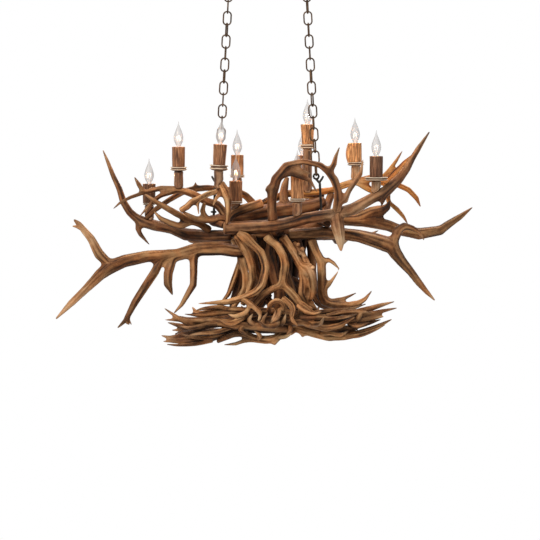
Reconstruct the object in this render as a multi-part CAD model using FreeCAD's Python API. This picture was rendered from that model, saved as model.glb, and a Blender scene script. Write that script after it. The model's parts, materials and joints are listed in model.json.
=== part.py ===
import FreeCAD, Part
import math
import os

# Antler chandelier on two chains.  Millimetres, +Z up, X to the right, Y away
# from the front.  The origin is the middle of the canopy's ceiling face.

V = FreeCAD.Vector

# ---------------------------------------------------------------- dimensions
seat_gap = 0.3            # running clearance between pieces that move

canopy_length = 330.0
canopy_width = 120.0
canopy_depth = 22.0
canopy_wall = 2.5
canopy_rim = 7.0          # upright rim, before the rolled shoulder
strap_length = 300.0
strap_width = 30.0
strap_thick = 3.0
strap_hole_pitch = 90.0
strap_hole_r = 2.6

loop_x = 125.0            # the two hanging loops, either side of the middle
loop_wire_r = 3.5
loop_ring_r = 10.0
loop_wire_z = -46.0       # lowest wire centre of a loop
loop_stem_r = 5.0

link_wire_r = 2.5
link_half_length = 21.65  # to the wire centre of an end bar
link_half_width = 12.75
link_flat = 6.5           # half of the straight end bar
link_count = 17
eye_x = 160.0             # the lowest bar of each chain
eye_ring_r = 9.0
rod_r = 4.0
rod_foot_z = -835.0       # screwed into the bearer antlers
rod_nut_z = -814.0
rod_nut_r = 10.0
rod_crank = 14.0          # how far a rod is set out from its eye

sleeve_r = 21.0
sleeve_bore_r = 16.0
socket_r = 9.5
socket_bore_r = 6.8
socket_drop = 6.0         # its rim lies below the sleeve's
bulb_cap_r = 6.4
bulb_cap_length = 22.0
bulb_r = 16.0
bulb_height = 84.0        # above the sleeve's rim

# ------------------------------------------------------- skins over sections


def facet(*corners):
    return Part.Face(Part.makePolygon(list(corners) + [corners[0]]))


def skin(rings, closed=False):
    """One solid skinned over polygon sections, in a row or in a closed loop."""
    faces = []
    sides = len(rings[0])
    pairs = list(zip(rings, rings[1:]))
    if closed:
        pairs.append((rings[-1], rings[0]))
    else:
        faces.append(facet(*reversed(rings[0])))
        faces.append(facet(*rings[-1]))
    for low, high in pairs:
        for k in range(sides):
            n = (k + 1) % sides
            faces.append(facet(low[k], low[n], high[n]))
            faces.append(facet(low[k], high[n], high[k]))
    solid = Part.Solid(Part.Shell(faces))
    if solid.Volume < 0:
        solid.reverse()
    return solid


def section(centre, across, up, radius, sides):
    """A regular polygon of corners round a centre."""
    corners = []
    for k in range(sides):
        a = 2.0 * math.pi * k / sides
        corners.append(centre + across * (radius * math.cos(a)) + up * (radius * math.sin(a)))
    return corners


def limb(stations, sides):
    """A tapering limb through (x, y, z, radius) stations, its section carried without twist."""
    points = [V(s[0], s[1], s[2]) for s in stations]
    # corners stand out so that the polygon has the round limb's area
    full = math.sqrt(2 * math.pi / (sides * math.sin(2 * math.pi / sides)))
    across = None
    rings = []
    for i, station in enumerate(stations):
        ahead = points[min(i + 1, len(points) - 1)]
        behind = points[max(i - 1, 0)]
        along = (ahead - behind).normalize()
        if across is None:
            across = V(0, 0, 1) if abs(along.z) < 0.9 else V(1, 0, 0)
        across = (across - along * across.dot(along)).normalize()
        rings.append(section(points[i], across, along.cross(across), station[3] * full, sides))
    return skin(rings)


def loop(points, normal, wire_r, sides):
    """A closed wire loop through points that lie in the plane of the normal."""
    rings = []
    count = len(points)
    for i in range(count):
        along = (points[(i + 1) % count] - points[i - 1]).normalize()
        rings.append(section(points[i], normal, along.cross(normal), wire_r, sides))
    return skin(rings, closed=True)


def turned(profile, sides, base, axis):
    """A faceted turning: (radius, height) pairs stepped round the axis."""
    axis = V(axis).normalize()
    across = (V(1, 0, 0) - axis * axis.x).normalize()
    rings = []
    for radius, height in profile:
        rings.append(section(base + axis * height, across, axis.cross(across), radius, sides))
    return skin(rings)


# --------------------------------------------------------- canopy and strap


def oblong(length, width, z, segments=5):
    """A closed stadium outline."""
    r = width / 2.0
    reach = length / 2.0 - r
    corners = []
    for side in (1, -1):
        for k in range(segments + 1):
            a = -math.pi / 2.0 + math.pi * k / segments
            corners.append(V(side * (reach + r * math.cos(a)), side * r * math.sin(a), z))
    return corners


def canopy_body():
    # a spun pan: upright rim, rolled shoulder, flat crown, as (inset, height) steps
    fall = canopy_depth - canopy_rim
    steps = [(0.0, 0.0), (0.0, -canopy_rim), (0.4 * fall, -canopy_rim - 0.47 * fall),
             (1.33 * fall, -canopy_rim - 0.8 * fall), (2.27 * fall, -canopy_depth)]
    outer = skin([oblong(canopy_length - 2 * s, canopy_width - 2 * s, z) for s, z in steps])
    w = canopy_wall
    hollow = [(w, 1.0)] + [(s + w, z + w) for s, z in steps[1:]]
    inner = skin([oblong(canopy_length - 2 * s, canopy_width - 2 * s, z) for s, z in hollow])
    pan = outer.cut(inner)
    for side in (-1, 1):
        pan = pan.cut(stem_of_loop(side, loop_stem_r))
    return pan


def stem_of_loop(side, radius):
    ring_top = loop_wire_z + 2 * loop_ring_r
    low = V(side * loop_x, 0, ring_top - loop_wire_r)
    return turned([(radius, 0.0), (radius, -low.z)], 6, low, V(0, 0, 1))


def ceiling_strap():
    # a flat steel bar across the pan, held to the ceiling by two screws
    bar = Part.makeBox(strap_length, strap_width, strap_thick,
                       V(-strap_length / 2.0, -strap_width / 2.0, -strap_thick))
    for side in (-1, 1):
        hole = Part.makeCylinder(strap_hole_r, 10.0, V(side * strap_hole_pitch / 2.0, 0, -5))
        bar = bar.cut(hole)
        bar = bar.cut(stem_of_loop(side, loop_stem_r))
    return bar


def canopy_loop(side):
    """A cast hanging loop: ring, collar, threaded stem and the nut under the strap."""
    centre = V(side * loop_x, 0, loop_wire_z + loop_ring_r)
    points = section(centre, V(1, 0, 0), V(0, 0, 1), loop_ring_r, 10)
    ring = loop(points, V(0, 1, 0), loop_wire_r, 5)
    stem = stem_of_loop(side, loop_stem_r)
    foot = V(side * loop_x, 0, -canopy_depth - 5.0)
    collar = turned([(1.4 * loop_stem_r, 0.0), (1.8 * loop_stem_r, 5.0)], 6, foot, V(0, 0, 1))
    nut_foot = V(side * loop_x, 0, -strap_thick - 6.0)
    nut = turned([(1.8 * loop_stem_r, 0.0), (1.8 * loop_stem_r, 6.0)], 6, nut_foot, V(0, 0, 1))
    return ring.fuse([stem, collar, nut])


# ------------------------------------------------------------------- chains

link_pitch = 2 * (link_half_length - link_wire_r) - seat_gap / 1.5
first_bar_z = loop_wire_z + loop_wire_r + link_wire_r + seat_gap
chain_length = (link_count - 1) * link_pitch + 2 * link_half_length
chain_slope = (eye_x - loop_x) / chain_length


def chain_axis(side):
    return V(side * chain_slope, 0, -math.sqrt(1.0 - chain_slope ** 2))


def link(side, number):
    """One oblong link.  Odd links stand edge-on to the front, even ones face it."""
    axis = chain_axis(side)
    top_bar = V(side * loop_x, 0, first_bar_z) + axis * (number - 1) * link_pitch
    middle = top_bar + axis * link_half_length
    if number % 2:
        across, normal = V(0, 1, 0), axis.cross(V(0, 1, 0))
    else:
        across, normal = axis.cross(V(0, 1, 0)), V(0, 1, 0)
    shoulder = link_half_length - 0.68 * link_half_width
    corners = [(link_flat, link_half_length), (link_half_width, shoulder),
               (link_half_width, -shoulder), (link_flat, -link_half_length)]
    outline = [middle + across * w + axis * h for w, h in corners]
    outline += [middle - across * w + axis * h for w, h in reversed(corners)]
    return loop(outline, normal, link_wire_r, 5)


def eye_point(side):
    """The middle of the lowest bar of a chain, where the fixture hangs."""
    return V(side * loop_x, 0, first_bar_z) + chain_axis(side) * chain_length


# -------------------------------------------------------------- hanger rods


def hanger_rod(side):
    """A forged rod: an eye round the lowest bar, a short hooked end, a threaded foot."""
    bar = eye_point(side)
    centre = bar + V(0, 0, rod_r + link_wire_r + seat_gap - eye_ring_r)
    ring = loop(section(centre, V(1, 0, 0), V(0, 0, 1), eye_ring_r, 8), V(0, 1, 0), rod_r, 5)
    out = V(side, 0, 0)
    low = centre - V(0, 0, eye_ring_r)
    foot = low + out * (rod_crank + 4.0)
    foot.z = rod_foot_z
    shank = limb([(*low, rod_r),
                  (*(low + out * (rod_crank - 2.0) - V(0, 0, rod_crank)), rod_r),
                  (*(low + out * rod_crank - V(0, 0, 3.6 * rod_crank)), rod_r),
                  (*foot, rod_r)], 6)
    hook = limb([(*(low + out * (rod_crank - 3.0) - V(0, 0, rod_crank - 3.0)), 0.9 * rod_r),
                 (*(low + out * (rod_crank + 5.0) + V(0, 0, 1.0)), 0.9 * rod_r),
                 (*(low + out * (rod_crank + 10.0) + V(0, 0, 10.0)), 0.75 * rod_r)], 6)
    nut = turned([(rod_nut_r, 0.0), (rod_nut_r, 6.0)], 6, V(foot.x, 0, rod_nut_z), V(0, 0, 1))
    return ring.fuse([shank, hook, nut])


# ------------------------------------------------------------------ candles
# foot x, y, height of the sleeve's foot, lean of the top in x, sleeve height,
# saucer radius, saucer thickness, bottom of the stem inside its antler

candles = [
    (-392, 44, -783, 0.00, 63, 22, 8, -850),
    (-292, -26, -662, 0.00, 66, 28, 13, -734),
    (-157, -139, -652, 0.06, 67, 31, 15, -728),
    (-101, 92, -692, 0.00, 66, 26, 10, -748),
    (-104, -50, -773, 0.00, 66, 24, 9, -807),
    (133, 129, -592, 0.00, 67, 25, 15, -754),
    (118, 192, -696, 0.00, 66, 25, 12, -757),
    (97, -108, -762, 0.00, 74, 27, 11, -838),
    (294, 133, -651, -0.02, 64, 29, 11, -716),
    (353, -120, -692, 0.00, 68, 39, 12, -752),
]


def candle_axis(candle):
    return V(candle[3], 0, 1).normalize()


def candle_base(candle):
    return V(candle[0], candle[1], candle[2])


def saucer(candle):
    """A slice of burr: bark edge below, bevelled rim above."""
    r, t = candle[5], candle[6]
    profile = [(0.74 * r, -t), (r, -0.45 * t), (0.92 * r, 0.0)]
    return turned(profile, 8, candle_base(candle), candle_axis(candle))


def sleeve(candle):
    h = candle[4]
    base, axis = candle_base(candle), candle_axis(candle)
    wall = turned([(sleeve_r + 1, 0.0), (sleeve_r, h)], 8, base, axis)
    bore = turned([(sleeve_bore_r, -1.0), (sleeve_bore_r, h + 1.0)], 8, base, axis)
    return wall.cut(bore)


def socket(candle):
    h = candle[4] - socket_drop
    base, axis = candle_base(candle), candle_axis(candle)
    body = turned([(socket_r, 0.0), (socket_r, h)], 6, base, axis)
    bore = turned([(socket_bore_r + 0.6, h - bulb_cap_length), (socket_bore_r + 0.6, h + 1)],
                  6, base, axis)
    return body.cut(bore)


def bulb(candle):
    """A flame tip lamp: cap in the socket, neck, belly and drawn tip."""
    top = candle[4]
    foot = top - socket_drop - bulb_cap_length + seat_gap
    profile = [(bulb_cap_r, foot), (bulb_cap_r, top - 3.0), (0.8 * bulb_r, top + 0.13 * bulb_height),
               (bulb_r, top + bulb_height / 3), (0.53 * bulb_r, top + 0.71 * bulb_height),
               (1.2, top + bulb_height)]
    return turned(profile, 6, candle_base(candle), candle_axis(candle))


def stem(candle):
    """The tine stub that carries a saucer, let into the antler below."""
    top = candle_base(candle) - candle_axis(candle) * candle[6]
    neck = top - candle_axis(candle) * 12.0
    return limb([(candle[0], candle[1], candle[7], 15.5), (*neck, 14.5), (*top, 15.0)], 6)


# ------------------------------------------------------------------ antlers
# Each antler is a beam and its tines, as (x, y, z, radius) stations.  They are
# listed in the order of assembly: a later one is notched round the earlier ones.

antlers = {
    "front_beam_antler": [
        [(-143, -85, -862, 20), (-60, -95, -857, 22), (40, -105, -850, 21),
         (130, -112, -826, 18), (222, -116, -812, 19), (275, -118, -797, 19),
         (335, -120, -763, 17), (385, -118, -738, 18), (425, -112, -701, 16),
         (453, -105, -665, 13), (471, -98, -633, 10), (493, -92, -597, 8.5), (528, -85, -545, 2.5)],
        [(222, -112, -808, 20), (227, -140, -852, 22), (236, -158, -900, 14), (238, -172, -930, 3)],
        [(388, -120, -740, 10), (376, -124, -765, 8), (368, -128, -789, 2)],
    ],
    "right_low_antler": [
        [(70, -45, -884, 19), (198, -58, -874, 18), (298, -74, -886, 20), (347, -82, -899, 23),
         (384, -86, -911, 25), (410, -90, -921, 25), (417, -92, -940, 21), (439, -96, -969, 17),
         (468, -100, -1003, 13.5), (493, -104, -1036, 12), (521, -108, -1069, 8),
         (546, -110, -1095, 2.5)],
        [(412, -88, -900, 16), (427, -86, -866, 16), (447, -84, -852, 12), (475, -82, -861, 9),
         (496, -80, -874, 6), (512, -80, -900, 2)],
    ],
    "left_low_antler": [
        [(-72, -52, -937, 17), (-104, -50, -938, 20), (-150, -60, -929, 21),
         (-228, -72, -930, 22), (-297, -90, -948, 19.5),
         (-395, -110, -951, 18.5), (-465, -122, -965, 20), (-515, -130, -985, 23),
         (-545, -133, -1009, 18), (-591, -138, -1056, 13), (-640, -145, -1103, 11),
         (-688, -152, -1152, 3)],
        [(-512, -128, -978, 15), (-548, -132, -943, 17), (-573, -134, -893, 13),
         (-615, -130, -842, 9), (-630, -128, -829, 3)],
        [(-346, -98, -955, 14), (-369, -112, -1003, 14), (-398, -120, -1047, 13),
         (-431, -130, -1098, 12), (-462, -138, -1158, 8), (-488, -145, -1182, 2.5)],
        [(-310, -92, -955, 15), (-325, -105, -1008, 15), (-325, -112, -1042, 14),
         (-309, -118, -1077, 2.5)],
        [(-242, -75, -940, 16), (-242, -85, -993, 13), (-243, -95, -1045, 12),
         (-281, -105, -1110, 7), (-306, -110, -1137, 2.5)],
        [(-460, -136, -1140, 7), (-442, -140, -1173, 2)],
    ],
    "left_high_antler": [
        [(-120, 12, -890, 18), (-200, 25, -892, 19), (-272, 32, -887, 20), (-320, 38, -868, 17),
         (-372, 42, -858, 18), (-408, 44, -848, 18), (-438, 45, -831, 14), (-458, 46, -812, 13),
         (-478, 48, -780, 12), (-491, 50, -738, 10), (-513, 52, -690, 8), (-530, 54, -645, 6),
         (-546, 55, -607, 2)],
        [(-425, 44, -842, 11), (-430, 38, -868, 9), (-420, 30, -888, 7.5), (-390, 25, -922, 2)],
    ],
    "right_bearer_antler": [
        [(196, -92, -846, 13), (184, -40, -838, 17), (180, 0, -836, 18), (184, 60, -828, 17),
         (200, 112, -790, 14), (214, 136, -756, 12)],
    ],
    "left_bearer_antler": [
        [(-140, -72, -852, 12), (-172, -36, -842, 16), (-180, 0, -838, 18), (-178, 44, -842, 17),
         (-150, 88, -832, 15), (-95, 108, -806, 14), (-30, 98, -798, 13)],
    ],
    "centre_bearer_antler": [
        [(-128, 14, -880, 16), (-60, 36, -886, 18), (20, 40, -884, 19), (100, 36, -878, 18),
         (160, 26, -858, 16), (186, 12, -842, 14)],
        [(20, 40, -884, 15), (30, 0, -880, 15), (40, -40, -872, 15), (50, -85, -858, 12)],
    ],
    "right_long_antler": [
        [(188, 60, -842, 15), (252, 72, -841, 18), (325, 78, -843, 21), (402, 82, -860, 18),
         (434, 84, -874, 18), (504, 86, -888, 19), (576, 86, -876, 16), (605, 84, -854, 13),
         (639, 82, -832, 10), (683, 78, -798, 2)],
        [(300, 78, -838, 20), (345, 80, -820, 21), (378, 81, -812, 19), (400, 80, -798, 12),
         (406, 80, -776, 3)],
    ],
    "left_rim_antler": [
        [(-137, -45, -826, 13), (-145, -36, -808, 14), (-165, -28, -785, 14),
         (-203, -25, -774, 13), (-250, -25, -749, 12),
         (-300, -25, -734, 9.5), (-351, -25, -732, 9), (-400, -25, -744, 7), (-451, -24, -762, 6),
         (-484, -22, -779, 5), (-509, -20, -801, 2)],
        [(-290, -28, -738, 8), (-351, -40, -755, 8), (-374, -45, -772, 8), (-420, -52, -824, 2)],
        [(-406, -24, -748, 8), (-423, -24, -720, 8), (-438, -24, -694, 2)],
    ],
    "inner_front_antler": [
        [(-16, -45, -780, 15), (-54, -48, -792, 15.5), (-100, -50, -807, 16), (-137, -52, -831, 14),
         (-200, -60, -835, 11), (-236, -68, -830, 9), (-284, -88, -802, 3)],
        [(-128, -52, -826, 12), (-125, -72, -850, 12)],
        [(-196, -60, -834, 9), (-214, -62, -805, 9), (-206, -64, -778, 6)],
    ],
    "left_fork_antler": [
        [(-154, -140, -710, 14), (-140, -138, -735, 16), (-128, -132, -766, 13),
         (-128, -120, -803, 9), (-134, -98, -851, 5)],
        [(-148, -138, -735, 8), (-164, -136, -757, 6), (-178, -134, -785, 2)],
    ],
    "left_small_antler": [
        [(-150, -132, -735, 9), (-195, -105, -748, 9), (-221, -98, -763, 10), (-246, -96, -774, 11),
         (-262, -93, -790, 11), (-284, -84, -803, 10)],
        [(-229, -98, -768, 7), (-224, -102, -815, 2)],
    ],
    "left_cross_antler": [
        [(-192, 14, -872, 13), (-222, -8, -851, 12), (-252, -25, -840, 12), (-300, -45, -814, 11),
         (-328, -55, -797, 10), (-368, -65, -773, 8), (-401, -70, -750, 3)],
        [(-252, -25, -843, 11), (-285, -32, -857, 11), (-318, -45, -847, 11), (-351, -55, -830, 8),
         (-371, -60, -807, 3)],
    ],
    "back_beam_antler": [
        [(-138, 62, -836, 17), (-70, 66, -828, 24), (0, 72, -815, 27), (80, 78, -808, 28),
         (150, 84, -796, 24), (192, 92, -778, 15)],
        [(60, 76, -800, 17), (52, 96, -760, 15), (58, 108, -724, 12), (66, 112, -700, 7)],
    ],
    "left_top_antler": [
        [(-34, 84, -806, 13), (-50, 93, -785, 13), (-72, 95, -762, 12), (-105, 92, -746, 12),
         (-201, 62, -734, 10), (-238, 58, -737, 11), (-281, 52, -747, 11), (-327, 42, -774, 9),
         (-376, 32, -808, 9), (-404, 38, -838, 9)],
        [(-240, 58, -737, 7), (-239, 60, -714, 2)],
    ],
    "back_rim_antler": [
        [(-22, 104, -792, 12), (10, 112, -773, 11), (61, 122, -757, 11), (120, 128, -755, 11),
         (214, 132, -747, 12), (248, 134, -731, 12), (281, 134, -720, 12), (348, 128, -704, 12),
         (375, 124, -716, 13), (403, 120, -716, 15), (433, 116, -684, 14), (462, 112, -651, 10),
         (489, 110, -620, 2)],
        [(296, 134, -718, 10), (334, 130, -738, 12), (362, 126, -752, 11), (392, 122, -770, 5)],
        [(380, 122, -707, 9), (404, 130, -684, 9), (429, 135, -648, 6), (452, 138, -611, 2)],
        [(405, 118, -720, 11), (437, 110, -728, 9), (470, 105, -743, 9), (496, 100, -770, 8),
         (510, 98, -800, 2)],
        [(400, 118, -722, 10), (403, 112, -783, 8), (432, 108, -808, 8), (453, 105, -832, 6),
         (468, 102, -857, 2)],
    ],
    "back_arch_antler": [
        [(-28, 112, -794, 12), (20, 160, -775, 13), (65, 190, -759, 13), (107, 195, -757, 13),
         (150, 180, -766, 13), (184, 140, -760, 11)],
        [(107, 195, -757, 11), (128, 240, -772, 10), (150, 282, -770, 7), (158, 305, -752, 2)],
        [(20, 160, -775, 11), (-20, 215, -798, 10), (-45, 262, -796, 7), (-50, 290, -780, 2)],
    ],
    "arch_antler": [
        [(17, -112, -838, 17), (13, -128, -790, 15), (14, -138, -750, 16), (27, -144, -698, 17),
         (60, -148, -655, 13), (112, -150, -640, 9), (170, -148, -652, 10), (196, -146, -672, 12),
         (217, -144, -700, 13), (229, -142, -735, 13), (229, -138, -770, 14), (225, -124, -806, 15)],
        [(18, -140, -735, 12), (-4, -148, -727, 11)],
        [(59, -148, -650, 9), (96, -150, -662, 8), (143, -152, -682, 2)],
        [(27, -144, -694, 9), (76, -150, -679, 9), (137, -152, -701, 7), (161, -152, -740, 2)],
        [(200, -146, -678, 10), (216, -146, -648, 9), (222, -145, -622, 6), (234, -142, -593, 2)],
        [(229, -139, -772, 10), (252, -142, -768, 10), (263, -140, -737, 9), (302, -134, -682, 7.5),
         (310, -128, -633, 2)],
    ],
    "trunk_antler_1": [
        [(-92, -100, -872, 15), (-70, -112, -892, 17), (-47, -115, -914, 13), (-21, -118, -937, 13),
         (-5, -118, -985, 14), (-18, -118, -1043, 13.5), (-38, -120, -1066, 12.5),
         (-80, -122, -1086, 12), (-128, -120, -1099, 10), (-228, -115, -1105, 2)],
    ],
    "trunk_antler_2": [
        [(-4, -100, -884, 16), (12, -99, -903, 13), (31, -98, -916, 14), (50, -96, -949, 13),
         (57, -95, -979, 14), (47, -92, -1045, 14.5), (18, -94, -1058, 12), (-8, -95, -1074, 12),
         (-35, -96, -1100, 12), (-54, -94, -1124, 11), (-75, -92, -1150, 4)],
        [(50, -92, -1046, 13), (73, -92, -1068, 13), (93, -92, -1090, 13), (110, -92, -1117, 12),
         (104, -94, -1143, 9), (108, -96, -1170, 2)],
        [(104, -92, -1105, 9), (148, -92, -1124, 3)],
    ],
    "trunk_antler_3": [
        [(48, -62, -890, 15), (70, -64, -918, 14), (93, -64, -954, 15), (113, -64, -994, 15),
         (119, -62, -1034, 16), (116, -60, -1076, 18), (136, -58, -1109, 15), (165, -50, -1140, 6)],
        [(112, -64, -985, 12), (134, -84, -988, 16), (146, -86, -1018, 13), (149, -82, -1068, 12),
         (142, -84, -1098, 6)],
    ],
    "trunk_antler_4": [
        [(143, -42, -896, 15), (159, -40, -939, 14), (176, -38, -970, 14.5), (179, -34, -1040, 15),
         (179, -34, -1080, 17), (188, -36, -1104, 17), (215, -42, -1114, 14), (265, -52, -1116, 12),
         (299, -58, -1108, 10), (320, -62, -1094, 7), (342, -66, -1066, 2)],
        [(180, -38, -978, 8), (199, -41, -965, 8), (218, -44, -978, 6), (237, -46, -998, 2)],
        [(184, -36, -1062, 9), (199, -38, -1052, 8), (233, -42, -1004, 2)],
        [(198, -38, -1106, 9), (250, -34, -1096, 7), (293, -30, -1076, 2)],
    ],
    "trunk_antler_5": [
        [(-90, -72, -905, 13), (-67, -80, -943, 13), (-53, -84, -979, 13), (-48, -84, -1030, 12.5),
         (-63, -80, -1078, 11), (-82, -76, -1112, 9)],
        [(-90, -72, -908, 12), (-100, -92, -884, 12)],
    ],
    "trunk_antler_6": [
        [(-110, -10, -902, 14), (-94, -36, -934, 14), (-82, -46, -981, 12), (-72, -46, -1020, 12),
         (-74, -46, -1060, 11),
         (-98, -44, -1100, 10), (-120, -40, -1135, 8)],
        [(-86, -44, -965, 11), (-99, -20, -1000, 10), (-113, -10, -1040, 10), (-129, -8, -1082, 8),
         (-165, -10, -1128, 3)],
    ],
    "trunk_back_3": [
        [(20, 6, -890, 15), (6, -10, -945, 17), (22, -14, -1015, 18), (40, -14, -1080, 19),
         (30, -12, -1140, 14)],
    ],
    "trunk_antler_7": [
        [(-84, 42, -892, 14), (-86, 60, -960, 15), (-80, 70, -1010, 15), (-80, 70, -1060, 14),
         (-112, 76, -1110, 10), (-190, 96, -1137, 2)],
    ],
    "trunk_back_1": [
        [(-20, 54, -892, 15), (-30, 80, -945, 19), (-36, 88, -1000, 18), (-30, 88, -1055, 18),
         (-12, 92, -1105, 21), (-30, 98, -1142, 10), (-72, 112, -1165, 3)],
    ],
    "trunk_back_2": [
        [(84, 56, -888, 16), (100, 80, -945, 19), (90, 90, -1010, 18), (80, 88, -1065, 19),
         (80, 92, -1112, 18), (100, 102, -1140, 9), (140, 118, -1150, 3)],
    ],
    "trunk_back_4": [
        [(-48, 30, -888, 16), (-54, 24, -945, 17), (-44, 24, -1000, 18), (-24, 22, -1050, 18),
         (-46, 12, -1104, 17), (-62, -10, -1150, 12)],
    ],
    "trunk_back_5": [
        [(52, 30, -886, 15), (52, 24, -940, 18), (52, 22, -1000, 19), (72, 22, -1056, 18),
         (84, 12, -1108, 17), (78, -8, -1150, 13)],
    ],
    "trunk_back_6": [
        [(90, 24, -882, 14), (104, 18, -930, 15.5), (120, 14, -975, 16), (128, 10, -1030, 16),
         (124, -6, -1092, 15), (132, -40, -1144, 10)],
    ],
    "trunk_back_7": [
        [(-86, 26, -886, 12), (-85, 16, -950, 12), (-88, 16, -1000, 13), (-97, 18, -1050, 14),
         (-112, 12, -1104, 13), (-122, -12, -1156, 9)],
    ],
    "trunk_antler_8": [
        [(136, 38, -874, 14), (148, 58, -945, 16), (146, 70, -1010, 16), (152, 70, -1065, 16),
         (175, 78, -1110, 12), (225, 90, -1125, 8), (265, 102, -1112, 2)],
    ],
    "basket_antler_1": [
        [(70, -118, -1186, 15), (-20, -130, -1178, 16), (-100, -135, -1172, 16),
         (-180, -135, -1163, 14), (-260, -130, -1158, 9), (-338, -120, -1157, 2)],
        [(-170, -134, -1168, 10), (-232, -132, -1190, 9), (-295, -128, -1148, 7),
         (-337, -122, -1119, 2)],
    ],
    "basket_antler_2": [
        [(40, -60, -1192, 16), (-60, -75, -1190, 16), (-150, -85, -1205, 15), (-200, -88, -1225, 14),
         (-250, -88, -1232, 12), (-345, -80, -1232, 2)],
        [(-110, -82, -1198, 12), (-190, -80, -1203, 13), (-255, -78, -1207, 12),
         (-318, -72, -1222, 8), (-350, -68, -1213, 2)],
    ],
    "basket_antler_3": [
        [(70, -14, -1160, 16), (-20, -18, -1162, 17), (-100, -26, -1168, 15), (-200, -36, -1182, 14),
         (-275, -45, -1188, 11), (-330, -48, -1172, 2)],
        [(-230, -40, -1186, 9), (-285, -34, -1199, 7), (-316, -32, -1199, 2)],
        [(-20, -18, -1162, 14), (-20, -60, -1175, 13), (-10, -100, -1172, 12)],
    ],
    "basket_antler_4": [
        [(24, -96, -1134, 13), (-60, -108, -1132, 14), (-130, -108, -1128, 14),
         (-190, -104, -1138, 13), (-232, -100, -1140, 11), (-247, -96, -1116, 2)],
        [(-150, -106, -1131, 8), (-215, -106, -1146, 7), (-273, -102, -1140, 2)],
    ],
    "basket_antler_5": [
        [(-82, -100, -1196, 11), (-68, -98, -1210, 12), (-42, -95, -1222, 13), (-5, -95, -1226, 14),
         (28, -95, -1222, 14), (44, -98, -1205, 14), (64, -104, -1190, 12)],
        [(-45, -95, -1226, 8), (-78, -95, -1229, 7), (-105, -92, -1239, 6), (-145, -88, -1243, 2)],
        [(26, -95, -1228, 10), (20, -95, -1243, 6)],
        [(-70, -100, -1206, 10), (-110, -112, -1206, 10), (-140, -114, -1218, 9),
         (-166, -112, -1230, 7)],
    ],
    "basket_antler_6": [
        [(36, -40, -1184, 14), (105, -62, -1192, 15), (150, -75, -1205, 14), (200, -85, -1218, 13),
         (250, -88, -1216, 12), (300, -88, -1205, 12), (350, -85, -1188, 10), (410, -75, -1158, 2)],
        [(112, -64, -1196, 11), (117, -62, -1219, 6)],
        [(150, -74, -1202, 13), (210, -70, -1194, 13), (270, -66, -1190, 11), (330, -60, -1178, 4)],
    ],
    "basket_antler_7": [
        [(-12, -138, -1160, 13), (70, -128, -1162, 16), (140, -126, -1158, 16),
         (220, -126, -1152, 15), (290, -120, -1160, 13), (380, -108, -1148, 2)],
        [(250, -124, -1154, 11), (320, -114, -1141, 9), (375, -105, -1130, 7), (426, -95, -1120, 2)],
        [(140, -126, -1158, 12), (150, -170, -1168, 10), (172, -222, -1160, 7), (182, -256, -1136, 2)],
        [(125, -130, -1168, 13), (190, -150, -1182, 12), (237, -152, -1172, 10),
         (284, -146, -1146, 3)],
        [(40, -130, -1160, 12), (20, -178, -1172, 10), (-12, -225, -1168, 7), (-30, -258, -1146, 2)],
    ],
    "basket_antler_8": [
        [(40, -34, -1140, 14), (130, -62, -1152, 15), (210, -76, -1146, 15), (280, -72, -1142, 13),
         (330, -64, -1128, 10), (375, -58, -1114, 7), (418, -52, -1103, 2)],
        [(240, -76, -1146, 11), (275, -78, -1176, 11), (330, -80, -1172, 8), (372, -80, -1160, 2)],
    ],
    "basket_antler_9": [
        [(44, 14, -1158, 15), (-40, 70, -1160, 16), (-130, 95, -1168, 15), (-210, 100, -1180, 12),
         (-270, 100, -1175, 8), (-320, 95, -1160, 2)],
        [(-40, 70, -1160, 13), (-50, 130, -1165, 12), (-75, 190, -1162, 9), (-90, 240, -1140, 2)],
    ],
    "basket_antler_10": [
        [(-22, 50, -1158, 14), (60, 92, -1156, 16), (120, 104, -1160, 16), (190, 105, -1165, 15),
         (270, 100, -1175, 12), (330, 92, -1165, 8), (375, 85, -1145, 2)],
        [(120, 104, -1160, 12), (140, 160, -1170, 11), (165, 212, -1162, 8), (178, 250, -1138, 2)],
    ],
    "back_left_antler": [
        [(-50, 62, -902, 17), (-130, 120, -915, 19), (-200, 190, -925, 17), (-260, 250, -915, 13),
         (-300, 300, -890, 8), (-320, 330, -860, 2)],
        [(-200, 190, -925, 12), (-205, 240, -945, 11), (-225, 290, -950, 7), (-250, 325, -938, 2)],
    ],
    "back_right_antler": [
        [(70, 60, -898, 17), (150, 125, -894, 18), (220, 190, -900, 16), (290, 250, -908, 12),
         (345, 300, -905, 7), (380, 330, -890, 2)],
        [(220, 190, -900, 12), (232, 240, -922, 10), (255, 290, -932, 7), (280, 322, -918, 2)],
    ],
}


def raw_antler(limbs):
    beam = limb(limbs[0], 6 if limbs[0][1][3] > 15 else 5)
    tines = [limb(stations, 5) for stations in limbs[1:]]
    return beam.multiFuse(tines) if tines else beam


def near(a, b):
    return a.BoundBox.intersect(b.BoundBox)


def largest(shape):
    return max(shape.Solids, key=lambda s: s.Volume)


# ------------------------------------------------------------------ assembly
nodes = {}
nodes["ceiling_canopy"] = canopy_body()
nodes["canopy_hardware"] = Part.makeCompound([ceiling_strap(), canopy_loop(-1), canopy_loop(1)])
for side, hand in ((-1, "left"), (1, "right")):
    nodes["chain_top_link_" + hand] = link(side, 1)
    nodes["chain_" + hand] = Part.makeCompound([link(side, n) for n in range(2, link_count + 1)])
rods = {side: hanger_rod(side) for side in (-1, 1)}
nodes["hanger_rods"] = Part.makeCompound(list(rods.values()))

fitted = {}
for name, limbs in antlers.items():
    body = raw_antler(limbs)
    for other in fitted.values():
        if near(body, other):
            body = body.cut(other)
    for rod in rods.values():
        if near(body, rod):
            body = body.cut(rod)
    fitted[name] = largest(body)
for name, piece in fitted.items():
    if not name.startswith("trunk_back"):
        nodes[name] = piece
nodes["trunk_back_antlers"] = Part.makeCompound([fitted["trunk_back_" + k] for k in "1234567"])

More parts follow.
